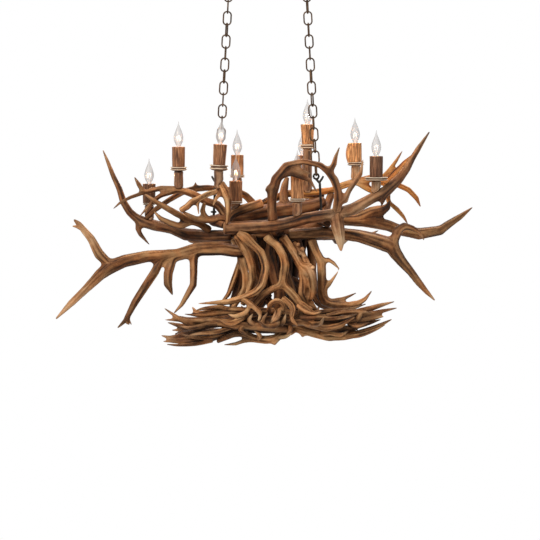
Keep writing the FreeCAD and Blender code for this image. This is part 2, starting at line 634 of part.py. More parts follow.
stems = []
for candle in candles:
    post = stem(candle)
    for other in fitted.values():
        if near(post, other):
            post = post.cut(other)
    stems.append(max(post.Solids, key=lambda s: s.CenterOfMass.z))
nodes["candle_stems"] = Part.makeCompound(stems)
nodes["candle_saucers"] = Part.makeCompound([saucer(c) for c in candles])
nodes["candle_sleeves"] = Part.makeCompound([sleeve(c) for c in candles])
nodes["candle_sockets"] = Part.makeCompound([socket(c) for c in candles])
for number, candle in enumerate(candles, 1):
    nodes["bulb_%d" % number] = bulb(candle)

os.makedirs("parts", exist_ok=True)
for name, shape in nodes.items():
    shape.exportStep("parts/" + name + ".step")
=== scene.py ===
import json
import math

import bmesh
import bpy
import numpy as np
from mathutils import Euler, Matrix, Vector, noise
from mathutils.bvhtree import BVHTree


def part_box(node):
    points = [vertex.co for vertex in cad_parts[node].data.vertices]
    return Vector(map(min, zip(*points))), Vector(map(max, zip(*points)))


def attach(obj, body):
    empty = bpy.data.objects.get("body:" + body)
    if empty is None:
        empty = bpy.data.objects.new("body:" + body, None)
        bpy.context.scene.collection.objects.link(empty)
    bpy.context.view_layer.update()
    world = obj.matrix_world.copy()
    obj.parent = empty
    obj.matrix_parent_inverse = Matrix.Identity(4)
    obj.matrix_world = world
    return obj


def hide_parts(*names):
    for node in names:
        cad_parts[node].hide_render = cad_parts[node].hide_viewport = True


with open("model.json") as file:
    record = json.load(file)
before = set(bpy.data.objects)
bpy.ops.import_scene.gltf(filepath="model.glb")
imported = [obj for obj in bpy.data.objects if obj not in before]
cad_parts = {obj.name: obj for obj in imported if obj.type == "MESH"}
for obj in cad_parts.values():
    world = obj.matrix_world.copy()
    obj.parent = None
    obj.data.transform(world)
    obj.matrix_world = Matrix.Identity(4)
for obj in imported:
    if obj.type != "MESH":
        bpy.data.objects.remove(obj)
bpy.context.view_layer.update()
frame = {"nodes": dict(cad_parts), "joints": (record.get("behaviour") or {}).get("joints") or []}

# ------------------------------------------------------------ ceiling canopy
# The pan that hides the ceiling box: an oblong of thin steel, spun over a form
# with a rolled shoulder and plated in antique bronze.  It is held up by the two
# hanging loops that pass through it.

pan_low, pan_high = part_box("ceiling_canopy")
pan_round = (pan_high.y - pan_low.y) / 2
pan_reach = (pan_high.x - pan_low.x) / 2 - pan_round
pan_depth = pan_high.z - pan_low.z
pan_wall = 0.0020
pan_edge = 0.0006
# (inset, share of the depth) from the ceiling to the crown
pan_steps = [(0.0, 0.30), (0.0015, 0.42), (0.0065, 0.66), (0.014, 0.80), (0.022, 0.875),
             (0.024, 0.90), (0.034, 1.0)]


def nodes_of(name):
    """A new material, its node tree and its shader."""
    material = bpy.data.materials.new(name)
    material.use_nodes = True
    return material, material.node_tree, material.node_tree.nodes["Principled BSDF"]


def plug(tree, socket, value):
    """An input set to a value, or fed by another socket."""
    if isinstance(value, bpy.types.NodeSocket):
        tree.links.new(value, socket)
    else:
        socket.default_value = value


def feed(tree, node, **inputs):
    """The named inputs of a node, each with its value or the socket that feeds it."""
    for name, value in inputs.items():
        plug(tree, node.inputs[name.replace("_", " ")], value)
    return node


def add_node(tree, kind, **inputs):
    return feed(tree, tree.nodes.new(kind), **inputs)


def drift(tree, scale, detail, roughness=0.5, place=None):
    """A noise that drifts over the piece, or over the given place."""
    if place is None:
        place = add_node(tree, "ShaderNodeTexCoord").outputs["Object"]
    return add_node(tree, "ShaderNodeTexNoise", Vector=place, Scale=scale, Detail=detail,
                    Roughness=roughness).outputs["Fac"]


def ramp(tree, source, *stops):
    """A colour ramp from (place, red, green, blue) stops, fed by a socket."""
    node = add_node(tree, "ShaderNodeValToRGB", Fac=source)
    elements = node.color_ramp.elements
    while len(elements) < len(stops):
        elements.new(0.5)
    for element, (place, *colour) in zip(elements, stops):
        element.position = place
        element.color = (*colour, 1.0)
    return node.outputs["Color"]


def map_range(tree, source, from_low, from_high, to_low, to_high):
    """A socket's values drawn from one range into another."""
    node = add_node(tree, "ShaderNodeMapRange")
    for socket, value in zip(node.inputs, (source, from_low, from_high, to_low, to_high)):
        plug(tree, socket, value)
    return node.outputs["Result"]


def bumped(tree, shader, height, strength, distance):
    """Relief too fine for the mesh, from a socket that gives its height."""
    bump = add_node(tree, "ShaderNodeBump", Height=height, Strength=strength, Distance=distance)
    feed(tree, shader, Normal=bump.outputs["Normal"])


def worn_metal(name, dull, rubbed, low_gloss, high_gloss, scale):
    """Plated or blackened metal: blotchy tone, rubbed patches and fine scratches."""
    material, tree, shader = nodes_of(name)
    blotch = drift(tree, scale, 6.0, 0.62)
    between = [0.6 * d + 0.4 * r for d, r in zip(dull, rubbed)]
    tone = ramp(tree, blotch, (0.36, *dull), (0.56, *between), (0.72, *rubbed))
    gloss = map_range(tree, blotch, 0.3, 0.75, low_gloss, high_gloss)
    feed(tree, shader, Metallic=0.85, Base_Color=tone, Roughness=gloss)
    bumped(tree, shader, drift(tree, scale * 14, 3.0, 0.7), 0.25, 0.0003)
    return material


bronze = worn_metal("antique_bronze", (0.070, 0.045, 0.028), (0.26, 0.155, 0.08), 0.5, 0.3, 42.0)


def in_scene(name, data):
    """A new object of the scene that shows the data."""
    new = bpy.data.objects.new(name, data)
    bpy.context.scene.collection.objects.link(new)
    return new


def object_of(bm, name):
    """The bmesh as an object in the scene, without a material yet."""
    mesh = bpy.data.meshes.new(name)
    bm.to_mesh(mesh)
    bm.free()
    return in_scene(name, mesh)


def dressed(piece, material, body, smooth=True):
    """The piece with its material and slot, riding on its body."""
    piece.data.polygons.foreach_set("use_smooth", [smooth] * len(piece.data.polygons))
    piece.data.materials.append(material)
    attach(piece, body)
    return piece


def placed(bm, name, material, body, smooth=True):
    """The bmesh as a finished piece, its faces pointing outwards."""
    bmesh.ops.recalc_face_normals(bm, faces=bm.faces)
    return dressed(object_of(bm, name), material, body, smooth)


def edge_rounding(piece, width, segments=2):
    """A small rounded edge on every sharp corner."""
    bevel = piece.modifiers.new("eased edges", "BEVEL")
    bevel.width = width
    bevel.segments = segments
    bevel.limit_method = "ANGLE"
    bevel.angle_limit = math.radians(35)
    piece.modifiers.new("even shading", "WEIGHTED_NORMAL")


def verts_of(made):
    """The points among all that an operator has made."""
    return [g for g in made if isinstance(g, bmesh.types.BMVert)]


def edges_of(made):
    return [g for g in made if isinstance(g, bmesh.types.BMEdge)]


pan = bmesh.new()
bmesh.ops.create_circle(pan, segments=64, radius=pan_round, cap_ends=False)
for vert in pan.verts:
    vert.co.x += math.copysign(pan_reach, vert.co.x) if abs(vert.co.x) > 1e-6 else 0.0
    vert.co.z = pan_high.z
rim = list(pan.edges)
for inset, share in pan_steps:
    made = bmesh.ops.extrude_edge_only(pan, edges=rim)["geom"]
    rim = edges_of(made)
    for vert in verts_of(made):
        centre = Vector((max(-pan_reach, min(pan_reach, vert.co.x)), 0, 0))
        out = (Vector((vert.co.x, vert.co.y, 0)) - centre).normalized() * (pan_round - inset)
        vert.co = Vector((centre.x + out.x, out.y, pan_high.z - share * pan_depth))
bmesh.ops.contextual_create(pan, geom=rim)
bmesh.ops.triangulate(pan, faces=[f for f in pan.faces if len(f.verts) > 4])
canopy = placed(pan, "canopy_pan", bronze, "canopy")
wall = canopy.modifiers.new("sheet thickness", "SOLIDIFY")
wall.thickness = pan_wall
wall.offset = -1.0
edge_rounding(canopy, pan_edge)
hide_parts("ceiling_canopy")

# ---------------------------------------------------- strap and hanging loops
# Behind the pan a flat steel strap is screwed to the ceiling box.  Two cast
# loops with threaded stems hang from it, each locked by a nut, and carry the
# chains.

loop_pivot = {j["name"]: Vector(j["pos_m"]) for j in frame["joints"] if "pos_m" in j}
strap_size = Vector((0.300, 0.030, 0.003))
strap_corner = 0.006
loop_wire = 0.0034
loop_ring = 0.010
stem_radius = 0.005
thread_points = 19
nut_reach = 0.0089
nut_height = 0.006
screw_hole = 0.0026
screw_pitch = 0.090
zinc = worn_metal("zinc_plated_steel", (0.16, 0.16, 0.155), (0.30, 0.295, 0.28), 0.6, 0.45, 60.0)


def spun(profile, segments, matrix=Matrix()):
    """A turning from (radius, height) points, closed at both ends."""
    bm = bmesh.new()
    points = [bm.verts.new((r, 0.0, z)) for r, z in profile]
    edges = [bm.edges.new(pair) for pair in zip(points, points[1:])]
    bmesh.ops.spin(bm, geom=points + edges, cent=(0, 0, 0), axis=(0, 0, 1),
                   angle=2 * math.pi, steps=segments, use_merge=True)
    bmesh.ops.remove_doubles(bm, verts=bm.verts, dist=0.000005)
    bmesh.ops.recalc_face_normals(bm, faces=bm.faces)
    bmesh.ops.transform(bm, matrix=matrix, verts=bm.verts)
    return bm


def wire_ring(radius, wire, steps, sides, matrix):
    """A round ring of round wire, in the XZ plane before it is placed."""
    bm = bmesh.new()
    bmesh.ops.create_circle(bm, segments=sides, radius=wire,
                            matrix=Matrix.Translation((radius, 0, 0)))
    bmesh.ops.spin(bm, geom=bm.verts[:] + bm.edges[:], cent=(0, 0, 0), axis=(0, 1, 0),
                   angle=2 * math.pi, steps=steps, use_merge=True)
    bmesh.ops.recalc_face_normals(bm, faces=bm.faces)
    bmesh.ops.transform(bm, matrix=matrix, verts=bm.verts)
    return bm


def joined(parts):
    """Several bmeshes made one."""
    whole = bmesh.new()
    for bm in parts:
        mesh = bpy.data.meshes.new("part")
        bm.to_mesh(mesh)
        bm.free()
        whole.from_mesh(mesh)
        bpy.data.meshes.remove(mesh)
    return whole


loops = []
for side in ("swing_left", "swing_right"):
    bar = loop_pivot[side]
    centre = bar + Vector((0, 0, loop_ring))
    loops.append(wire_ring(loop_ring, loop_wire, 40, 14, Matrix.Translation(centre)))
    stem_low = centre.z + loop_ring - loop_wire
    stem = [(0.0, stem_low), (stem_radius * 0.9, stem_low + 0.0006)]
    # the thread, as shallow rounded turns
    for k in range(thread_points):
        height = stem_low + 0.0012 + (-0.0022 - stem_low) * k / (thread_points - 1)
        stem.append((stem_radius * (0.93 if k % 2 else 0.99), height))
    stem += [(stem_radius * 0.8, -0.0004), (0.0, -0.0004)]
    loops.append(spun(stem, 24, Matrix.Translation((bar.x, 0, 0))))
    seat = pan_low.z
    collar = [(0.0, seat - 0.0050), (0.0064, seat - 0.0050), (0.0076, seat - 0.0038),
              (0.0088, seat - 0.0012), (0.0090, seat - 0.0002), (0.0, seat - 0.0002)]
    loops.append(spun(collar, 32, Matrix.Translation((bar.x, 0, 0))))
    nut = bmesh.new()
    bmesh.ops.create_circle(nut, segments=6, radius=nut_reach, cap_ends=True)
    bmesh.ops.translate(nut, vec=(bar.x, 0, -strap_size.z - nut_height), verts=nut.verts)
    top = bmesh.ops.extrude_face_region(nut, geom=nut.faces[:])["geom"]
    bmesh.ops.translate(nut, vec=(0, 0, nut_height), verts=verts_of(top))
    bmesh.ops.recalc_face_normals(nut, faces=nut.faces)
    bmesh.ops.bevel(nut, geom=nut.edges[:], offset=0.0005, offset_type="OFFSET", segments=2,
                    profile=0.5, affect="EDGES", material=-1)
    loops.append(nut)
hanging_loops = placed(joined(loops), "hanging_loops", bronze, "canopy")

strap = bmesh.new()
bmesh.ops.create_cube(strap, size=1.0, matrix=Matrix.Translation((0, 0, -strap_size.z / 2))
                      @ Matrix.Diagonal((*strap_size, 1)))
ends = [e for e in strap.edges if abs(e.verts[0].co.z - e.verts[1].co.z) > 0.001]
bmesh.ops.bevel(strap, geom=ends, offset=strap_corner, offset_type="OFFSET", segments=5,
                profile=0.5, affect="EDGES", material=-1)
ceiling_strap = placed(strap, "ceiling_strap", zinc, "canopy", smooth=False)
stem_hole = stem_radius + 0.0002
holes = [(-screw_pitch / 2, screw_hole), (screw_pitch / 2, screw_hole),
         (loop_pivot["swing_left"].x, stem_hole), (loop_pivot["swing_right"].x, stem_hole)]
drill = object_of(joined([spun([(0.0, -0.006), (r, -0.006), (r, 0.003), (0.0, 0.003)], 32,
                               Matrix.Translation((x, 0, 0))) for x, r in holes]),
                  "strap_drills")
bored = ceiling_strap.modifiers.new("screw and stem holes", "BOOLEAN")
bored.object = drill
bored.operation = "DIFFERENCE"
bored.solver = "EXACT"


def apply_modifiers(piece):
    """The piece's modifiers made part of its mesh."""
    graph = bpy.context.evaluated_depsgraph_get()
    made = bpy.data.meshes.new_from_object(piece.evaluated_get(graph))
    old = piece.data
    piece.modifiers.clear()
    piece.data = made
    bpy.data.meshes.remove(old)


apply_modifiers(ceiling_strap)
drill_mesh = drill.data
bpy.data.objects.remove(drill)
bpy.data.meshes.remove(drill_mesh)
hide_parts("canopy_hardware")
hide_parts("canopy_hardware")

# ------------------------------------------------------------------ the chains
# Seventeen oval links of bent round wire on each side, in antique bronze.
# Every other link is turned a quarter about the chain, and each hangs a little off.

chain_bronze = worn_metal("weathered_chain_bronze", (0.038, 0.023, 0.014), (0.15, 0.085, 0.045),
                          0.62, 0.42, 48.0)
link_wire = 0.0025
link_half_length = 0.02165
link_half_width = 0.01275
link_corner = 0.0118
link_turn = 0.22          # how far a link may hang off its quarter turn, in radians


def merged(node):
    """A bmesh with a node's own mesh, its loose triangles joined."""
    bm = bmesh.new()
    bm.from_mesh(frame["nodes"][node].data)
    bmesh.ops.remove_doubles(bm, verts=bm.verts, dist=0.000002)
    return bm


def loose_parts(node):
    """The corner boxes of a node's separate solids."""
    bm = merged(node)
    seen = set()
    boxes = []
    for start in bm.verts:
        if start in seen:
            continue
        group = [start]
        seen.add(start)
        for vert in group:
            for edge in vert.link_edges:
                other = edge.other_vert(vert)
                if other not in seen:
                    seen.add(other)
                    group.append(other)
        low = Vector([min(v.co[k] for v in group) for k in range(3)])
        high = Vector([max(v.co[k] for v in group) for k in range(3)])
        boxes.append((low, high))
    bm.free()
    return boxes


def bent_link(matrix):
    """One link of round wire, run round four rounded corners, in the XZ plane."""
    bm = bmesh.new()
    run_x = link_half_width - link_corner
    run_z = link_half_length - link_corner
    bmesh.ops.create_circle(bm, segments=10, radius=link_wire,
                            matrix=Matrix.Translation((link_half_width, 0, -run_z)))
    end = bm.verts[:] + bm.edges[:]
    for x, z, run in ((run_x, run_z, (0, 0, 2 * run_z)), (-run_x, run_z, (-2 * run_x, 0, 0)),
                      (-run_x, -run_z, (0, 0, -2 * run_z)), (run_x, -run_z, (2 * run_x, 0, 0))):
        grown = bmesh.ops.extrude_edge_only(bm, edges=edges_of(end))["geom"]
        end = [g for g in grown if not isinstance(g, bmesh.types.BMFace)]
        bmesh.ops.translate(bm, vec=run, verts=verts_of(end))
        turn = bmesh.ops.spin(bm, geom=end, cent=(x, 0, z), axis=(0, -1, 0),
                              angle=math.pi / 2, steps=6, use_merge=False)
        end = [g for g in turn["geom_last"] if not isinstance(g, bmesh.types.BMFace)]
    bmesh.ops.remove_doubles(bm, verts=bm.verts, dist=0.00002)
    bmesh.ops.recalc_face_normals(bm, faces=bm.faces)
    bmesh.ops.transform(bm, matrix=matrix, verts=bm.verts)
    return bm


for side in ("left", "right"):
    links = loose_parts("chain_top_link_" + side)
    links += sorted(loose_parts("chain_" + side), key=lambda box: -box[0].z)
    middles = [(low + high) / 2 for low, high in links]
    lean = math.atan2(middles[-1].x - middles[0].x, middles[0].z - middles[-1].z)
    for name, body, first, last in (("chain_top_link_", "top_link_", 0, 1),
                                    ("chain_", "chain_", 1, len(links))):
        run = []
        rng = np.random.default_rng(len(side))
        for k in range(first, last):
            quarter = (math.pi / 2 if k % 2 == 0 else 0.0) + rng.uniform(-link_turn, link_turn)
            run.append(bent_link(Matrix.Translation(middles[k]) @ Matrix.Rotation(-lean, 4, "Y")
                                 @ Matrix.Rotation(quarter, 4, "Z")))
        piece = placed(joined(run), name + side + "_wire", chain_bronze, body + side)
        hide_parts(name + side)

# ------------------------------------------------------------ the hanger rods
# Two forged steel rods, blackened.  Each has an eye round the chain's lowest
# link and a short hooked end, and is screwed down into an antler with a nut.

rod_voxel = 0.0009
black_steel = worn_metal("blackened_steel", (0.012, 0.011, 0.010), (0.07, 0.06, 0.052),
                         0.58, 0.38, 70.0)


def voxel_skin(piece, name, voxel):
    """An even skin over the whole piece, left as a modifier."""
    remesh = piece.modifiers.new(name, "REMESH")
    remesh.mode = "VOXEL"
    remesh.voxel_size = voxel


rods = object_of(merged("hanger_rods"), "forged_hanger_rods")
voxel_skin(rods, "even skin", rod_voxel)
apply_modifiers(rods)
hammered = bmesh.new()
hammered.from_mesh(rods.data)
for _ in range(4):
    bmesh.ops.smooth_vert(hammered, verts=hammered.verts, factor=0.5, use_axis_x=True,
                          use_axis_y=True, use_axis_z=True)
hammered.to_mesh(rods.data)
hammered.free()
dressed(rods, black_steel, "fixture")
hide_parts("hanger_rods")

# ---------------------------------------------------------------- the antlers
# Shed antlers stained a natural brown, notched round each other and screwed
# together.  Each grows from its own solid: webbed at the forks, smoothed, and
# grooved along its length.

antler_voxel = 0.0026
web_reach = 0.0030        # how far the skin is grown and drawn back to fill a fork
groove_depth = 0.0016
grooved_girth = 0.03      # how thick a limb is whose grooves have their full depth
rubbed_girth = 0.015      # limbs thinner than this are rubbed paler

# where handling has rubbed the stain off, and at some of them a painted highlight: x, y, z and radius in
# millimetres, and the share
rubbed_and_highlit_places = [
    (238, -158, -885, 46, 0.7), (330, -120, -775, 75, 0.4), (240, -116, -812, 40, 0.5),
    (3, -115, -790, 20, 0.7), (505, -95, -580, 45, 0.6), (100, -150, -655, 16, 0.6),
    (294, 133, -696, 30, 1.0), (110, -90, -932, 26, 1.0), (143, -96, -996, 22, 1.0),
    (28, -162, -1150, 18, 0.8), (-40, -158, -1152, 20, 0.5),
    (-600, -133, -872, 55, 0.8), (-645, -146, -1108, 80, 0.8),
]


def rounded(stations, steps=4):
    """The stations with smooth steps between them, in metres."""
    rows = np.array(stations) / 1000.0
    rows = np.vstack([2 * rows[0] - rows[1], rows, 2 * rows[-1] - rows[-2]])
    out = []
    for a, b, c, d in zip(rows, rows[1:], rows[2:], rows[3:]):
        for t in np.arange(steps) / steps:
            out.append(0.5 * (2 * b + (c - a) * t + (2 * a - 5 * b + 4 * c - d) * t * t
                              + (3 * b - a - 3 * c + d) * t ** 3))
    return out + [rows[-2]]


def tapered_tine(stations, sides=10):
    """A curved tine through (x, y, z, radius) stations, closed at both ends."""
    rows = rounded(stations)
    places = []
    for k, row in enumerate(rows):
        ahead, behind = rows[min(k + 1, len(rows) - 1)], rows[max(k - 1, 0)]
        along = Vector(ahead[:3] - behind[:3]).normalized()
        turn = Vector((0, 0, 1)).rotation_difference(along).to_matrix().to_4x4()
        places.append(Matrix.Translation(row[:3]) @ turn @ Matrix.Scale(max(row[3], 0.001), 4))
    bm = bmesh.new()
    bmesh.ops.create_circle(bm, segments=sides, radius=1.0, cap_ends=True, matrix=places[0])
    rim = list(bm.edges)
    for before, after in zip(places, places[1:]):
        made = bmesh.ops.extrude_edge_only(bm, edges=rim)["geom"]
        rim = edges_of(made)
        bmesh.ops.transform(bm, matrix=after @ before.inverted(), verts=verts_of(made))
    bmesh.ops.contextual_create(bm, geom=rim)
    bmesh.ops.recalc_face_normals(bm, faces=bm.faces)
    return bm


def antler_skin(piece, voxel, web):
    """One even skin over the piece, with its inner corners filled."""
    for step, reach in ((1, web), (2, -web)):
        voxel_skin(piece, "even skin %d" % step, voxel)
        offset = piece.modifiers.new("grow or draw back %d" % step, "DISPLACE")
        offset.strength = reach
        offset.mid_level = 0.0
    apply_modifiers(piece)


def fetched(rows, name, width, kind=float):
    """One property of all the rows, in an array of the given width."""
    values = np.empty(len(rows) * width, kind)
    rows.foreach_get(name, values)
    return values.reshape(-1, width)


def skin_arrays(mesh):
    """The skin's points, normals and neighbour pairs."""
    pairs = [fetched(mesh.edges, "vertices", 2, np.int64)]
    corners = fetched(mesh.loops, "vertex_index", 1, np.int64)
    if len(corners) == 4 * len(mesh.polygons):
        quads = corners.reshape(-1, 4)
        pairs += [quads[:, (0, 2)], quads[:, (1, 3)]]
    pairs = np.concatenate(pairs)
    here, there = np.concatenate([pairs, pairs[:, ::-1]]).T
    return fetched(mesh.vertices, "co", 3), fetched(mesh.vertices, "normal", 3), here, there


def evened(values, here, there, times=1):
    """Each point's value made the average of its neighbours', again and again."""
    shares = np.bincount(here, minlength=len(values))
    columns = values.reshape(len(values), -1).T
    for _ in range(times):
        columns = [np.bincount(here, column[there], len(column)) / shares for column in columns]
    return np.stack(columns, axis=1).reshape(values.shape)


def limb_girth(mesh, co, normal, thickest=0.04, reach=0.06):
    """How thick the limb is under each point."""
    tree = BVHTree.FromPolygons([v.co for v in mesh.vertices],
                                [p.vertices for p in mesh.polygons])
    girth = np.full(len(co), thickest)
    for i, (point, inward) in enumerate(zip(co, -normal)):
        inward = Vector(inward)
        hit = tree.ray_cast(Vector(point) + inward * 0.0002, inward, reach)
        if hit[3] is not None:
            girth[i] = hit[3]
    return girth


def limb_axis(normal, here, there):
    """The limb's direction at each point, in which the skin's normals change least."""
    cells = [(0, 0), (0, 1), (0, 2), (1, 1), (1, 2), (2, 2)]
    tensor = np.stack([normal[:, a] * normal[:, b] for a, b in cells], axis=1)
    tensor = evened(tensor, here, there, 26)
    full = np.empty((len(normal), 3, 3))
    for k, (a, b) in enumerate(cells):
        full[:, a, b] = full[:, b, a] = tensor[:, k]
    return np.linalg.eigh(full)[1][:, :, 0]


def neighbours(count, here, there):
    """Each point's neighbours in a row, filled up with the point itself."""
    order = np.argsort(here, kind="stable")
    here, there = here[order], there[order]
    shares = np.bincount(here, minlength=count)
    first = np.cumsum(shares) - shares
    table = np.repeat(np.arange(count)[:, None], shares.max() + 1, axis=1)
    table[here, np.arange(len(here)) - first[here]] = there
    return table


def drawn_along(values, co, normal, axis, table, steps, stride):
    """The values summed over a path that follows the limb both ways."""
    every = np.arange(len(co))
    total = values.copy()
    for sense in (1.0, -1.0):
        at, place, heading = every, co, axis * sense
        for _ in range(steps):
            place = place + heading * stride
            choices = table[at]
            off = ((co[choices] - place[:, None]) ** 2).sum(2)
            at = choices[every, off.argmin(1)]
            place = place - normal[at] * ((place - co[at]) * normal[at]).sum(1)[:, None]
            same = np.where((axis[at] * heading).sum(1) < 0, -1.0, 1.0)
            heading = axis[at] * same[:, None]
            total += values[at]
    return total


def streaks(co, normal, axis, here, there, seed, stride, steps=20):
    """Fine and broad random streaks along the limb, from 0 to 1 in even numbers."""
    rng = np.random.default_rng(seed)
    columns = [evened(rng.normal(size=len(co)), here, there, blur) for blur in (1, 3)]
    table = neighbours(len(co), here, there)
    drawn = drawn_along(np.stack(columns, axis=1), co, normal, axis, table, steps, stride)
    return [np.argsort(np.argsort(column)) / max(len(column) - 1, 1) for column in drawn.T]


def keep(mesh, name, values):
    attribute = mesh.attributes.new(name, "FLOAT", "POINT")
    attribute.data.foreach_set("value", np.ascontiguousarray(values, np.float32))


def grow_antler(piece, seed, voxel=antler_voxel, web=web_reach, groove=groove_depth, evening=14):
    """The piece's solid as a grooved antler, its grain and girth kept in attributes."""
    antler_skin(piece, voxel, web)
    mesh = piece.data
    co, normal, here, there = skin_arrays(mesh)
    girth = evened(limb_girth(mesh, co, normal), here, there, 12)
    # thin limbs give less, so that they keep their thickness
    give = 0.55 * np.clip((girth - 0.003) / 0.02, 0.05, 1.0)[:, None]
    before = co.copy()
    for _ in range(evening):
        co += give * (evened(co, here, there) - co)
    # what the smoothing drew in is given back, evened out along the skin
    lost = evened(((before - co) * normal).sum(1), here, there, 24)
    co += normal * lost[:, None]
    mesh.vertices.foreach_set("co", co.ravel())
    mesh.update()
    co, normal, here, there = skin_arrays(mesh)
    axis = limb_axis(normal, here, there)
    fine, broad = streaks(co, normal, axis, here, there, seed, voxel)
    grain = 0.5 * fine + 0.5 * broad
    relief = 0.2 * fine + 0.8 * broad
    depth = groove * np.clip(girth / grooved_girth, 0.2, 1.0)
    co += normal * (depth * (relief - 0.60))[:, None]
    mesh.vertices.foreach_set("co", co.ravel())
    mesh.update()
    keep(mesh, "grain", grain)
    keep(mesh, "girth", girth)
    rubbed = 0.45 * np.clip((rubbed_girth - girth) / 0.010, 0.0, 1.0)
    # the listed places are made paler: rubbed wear, and at some a painted highlight
    for x, y, z, radius, share in rubbed_and_highlit_places:
        off = ((co * 1000 - (x, y, z)) ** 2).sum(1)
        rubbed = np.maximum(rubbed, share * np.exp(-off / radius ** 2))
    keep(mesh, "rubbed", rubbed)
    return piece


# undersides are painted darker than their openness alone would make them: painted shade from the light
# above
underside_painted_shade = 0.45    # how much less air an underside is taken to see


def see_openness_as_painted_shade(pieces, rays=12, reach=0.08, every=4, lift=0.0025):
    """How much open air each point of the skins sees, little in the recesses and less again on an
    underside; it darkens the antlers' colour as painted shade.
    """
    points, faces, skins = [], [], []
    for piece in pieces:
        co, normal, here, there = skin_arrays(piece.data)
        corners = fetched(piece.data.loops, "vertex_index", 1, np.int64)
        faces += (corners.reshape(-1, 4) + len(points)).tolist()
        points += co.tolist()
        skins.append((piece, co, normal, here, there))
    tree = BVHTree.FromPolygons(points, faces)
    golden = math.pi * (3 - math.sqrt(5))
    fan = []
    for k in range(rays):
        up = math.sqrt((k + 0.5) / rays)
        flat = math.sqrt(1 - up * up)
        fan.append((flat * math.cos(golden * k), flat * math.sin(golden * k), up))
    for piece, co, normal, here, there in skins:
        known = np.zeros(len(co))
        clear = np.zeros(len(co))
        for i in range(0, len(co), every):
            up = Vector(normal[i])
            start = Vector(co[i]) + up * lift
            side = up.orthogonal()
            other = up.cross(side)
            free = sum(tree.ray_cast(start, side * x + other * y + up * z, reach)[0] is None
                       for x, y, z in fan)
            known[i] = 1.0
            # an underside is counted as seeing less air: painted shade from the light above
            clear[i] = free / rays * (1.0 + underside_painted_shade * min(0.0, up.z))
        clear, known = (evened(values, here, there, 6) for values in (clear, known))
        keep(piece.data, "open", clear / np.maximum(known, 1e-9))


def mixed(tree, blend, factor, under, over):
    """One colour laid over another: multiplied or mixed."""
    node = add_node(tree, "ShaderNodeMix")
    node.data_type = "RGBA"
    node.blend_type = blend
    for place, value in ((0, factor), (6, under), (7, over)):
        plug(tree, node.inputs[place], value)
    return node.outputs[2]


def kept(tree, name):
    """The values of one of the piece's own attributes."""
    node = add_node(tree, "ShaderNodeAttribute")
    node.attribute_name = name
    return node.outputs["Fac"]


def worked_out(tree, operation, *values):
    """The result of one step of arithmetic on values or sockets."""
    node = add_node(tree, "ShaderNodeMath")
    node.operation = operation
    for socket, value in zip(node.inputs, values):
        plug(tree, socket, value)
    return node.outputs[0]


def frayed(tree, value, fray, share, less):
    """A value whose borders fray: a share of a noise is added, and its middle taken off."""
    lowered = worked_out(tree, "SUBTRACT", value, less)
    return worked_out(tree, "MULTIPLY_ADD", fray, share, lowered)


def antler_with_stain_and_painted_shade(name, light, middle, dark, groove):
    """Pale rubbed ridges, brown flanks, dark grooves, cloudy stain and smoky tips, with painted
    highlights at some rubbed places and painted shade in the recesses and on undersides.
    """
    material, tree, shader = nodes_of(name)
    grain = kept(tree, "grain")
    speck = drift(tree, 240.0, 3.0, 0.65)
    broken = frayed(tree, grain, speck, 0.24, 0.12)
    tone = ramp(tree, broken, (0.04, *groove), (0.17, *dark), (0.45, *middle), (0.88, *light))
    stain = ramp(tree, drift(tree, 11.0, 5.0, 0.6), (0.32, 0.40, 0.34, 0.30),
                 (0.50, 0.9, 0.88, 0.86), (0.68, 1.25, 1.2, 1.12))
    clouded = mixed(tree, "MULTIPLY", 0.5, tone, stain)
    bare = ramp(tree, broken, (0.04, 0.11, 0.050, 0.026), (0.17, 0.30, 0.155, 0.075),
                (0.45, 0.50, 0.29, 0.145), (0.88, 0.80, 0.54, 0.32))
    # the pale colour where the stain is rubbed off, and at some places a painted highlight
    worn_and_highlit = mixed(tree, "MIX", kept(tree, "rubbed"), clouded, bare)
    hue = ramp(tree, drift(tree, 23.0, 3.0), (0.38, 1.22, 0.94, 0.76), (0.62, 0.90, 1.0, 1.08))
    tinted = mixed(tree, "MULTIPLY", 0.55, worn_and_highlit, hue)
    smoke = map_range(tree, kept(tree, "girth"), 0.0045, 0.0085, 0.75, 0.0)
    tipped = mixed(tree, "MIX", smoke, tinted, (*dark, 1.0))
    # painted shade: the colour darkens where a point sees little open air, in the recesses and on
    # undersides
    shade = ramp(tree, kept(tree, "open"), (0.12, 0.05, 0.042, 0.038), (0.36, 0.38, 0.345, 0.33),
                 (0.66, 1.02, 1.01, 1.0))
    shaded = mixed(tree, "MULTIPLY", 1.0, tipped, shade)
    gloss = map_range(tree, grain, 0.2, 0.9, 0.66, 0.44)
    feed(tree, shader, Base_Color=shaded, Roughness=gloss, Specular_IOR_Level=0.2)
    bumped(tree, shader, speck, 0.35, 0.0006)
    return material


brown = antler_with_stain_and_painted_shade("stained_brown_antler", (0.45, 0.232, 0.097), (0.180, 0.077, 0.027),
                       (0.058, 0.023, 0.0080), (0.010, 0.0045, 0.0020))
pale = antler_with_stain_and_painted_shade("rubbed_pale_antler", (0.76, 0.47, 0.23), (0.38, 0.185, 0.074),
                      (0.125, 0.054, 0.021), (0.026, 0.012, 0.006))
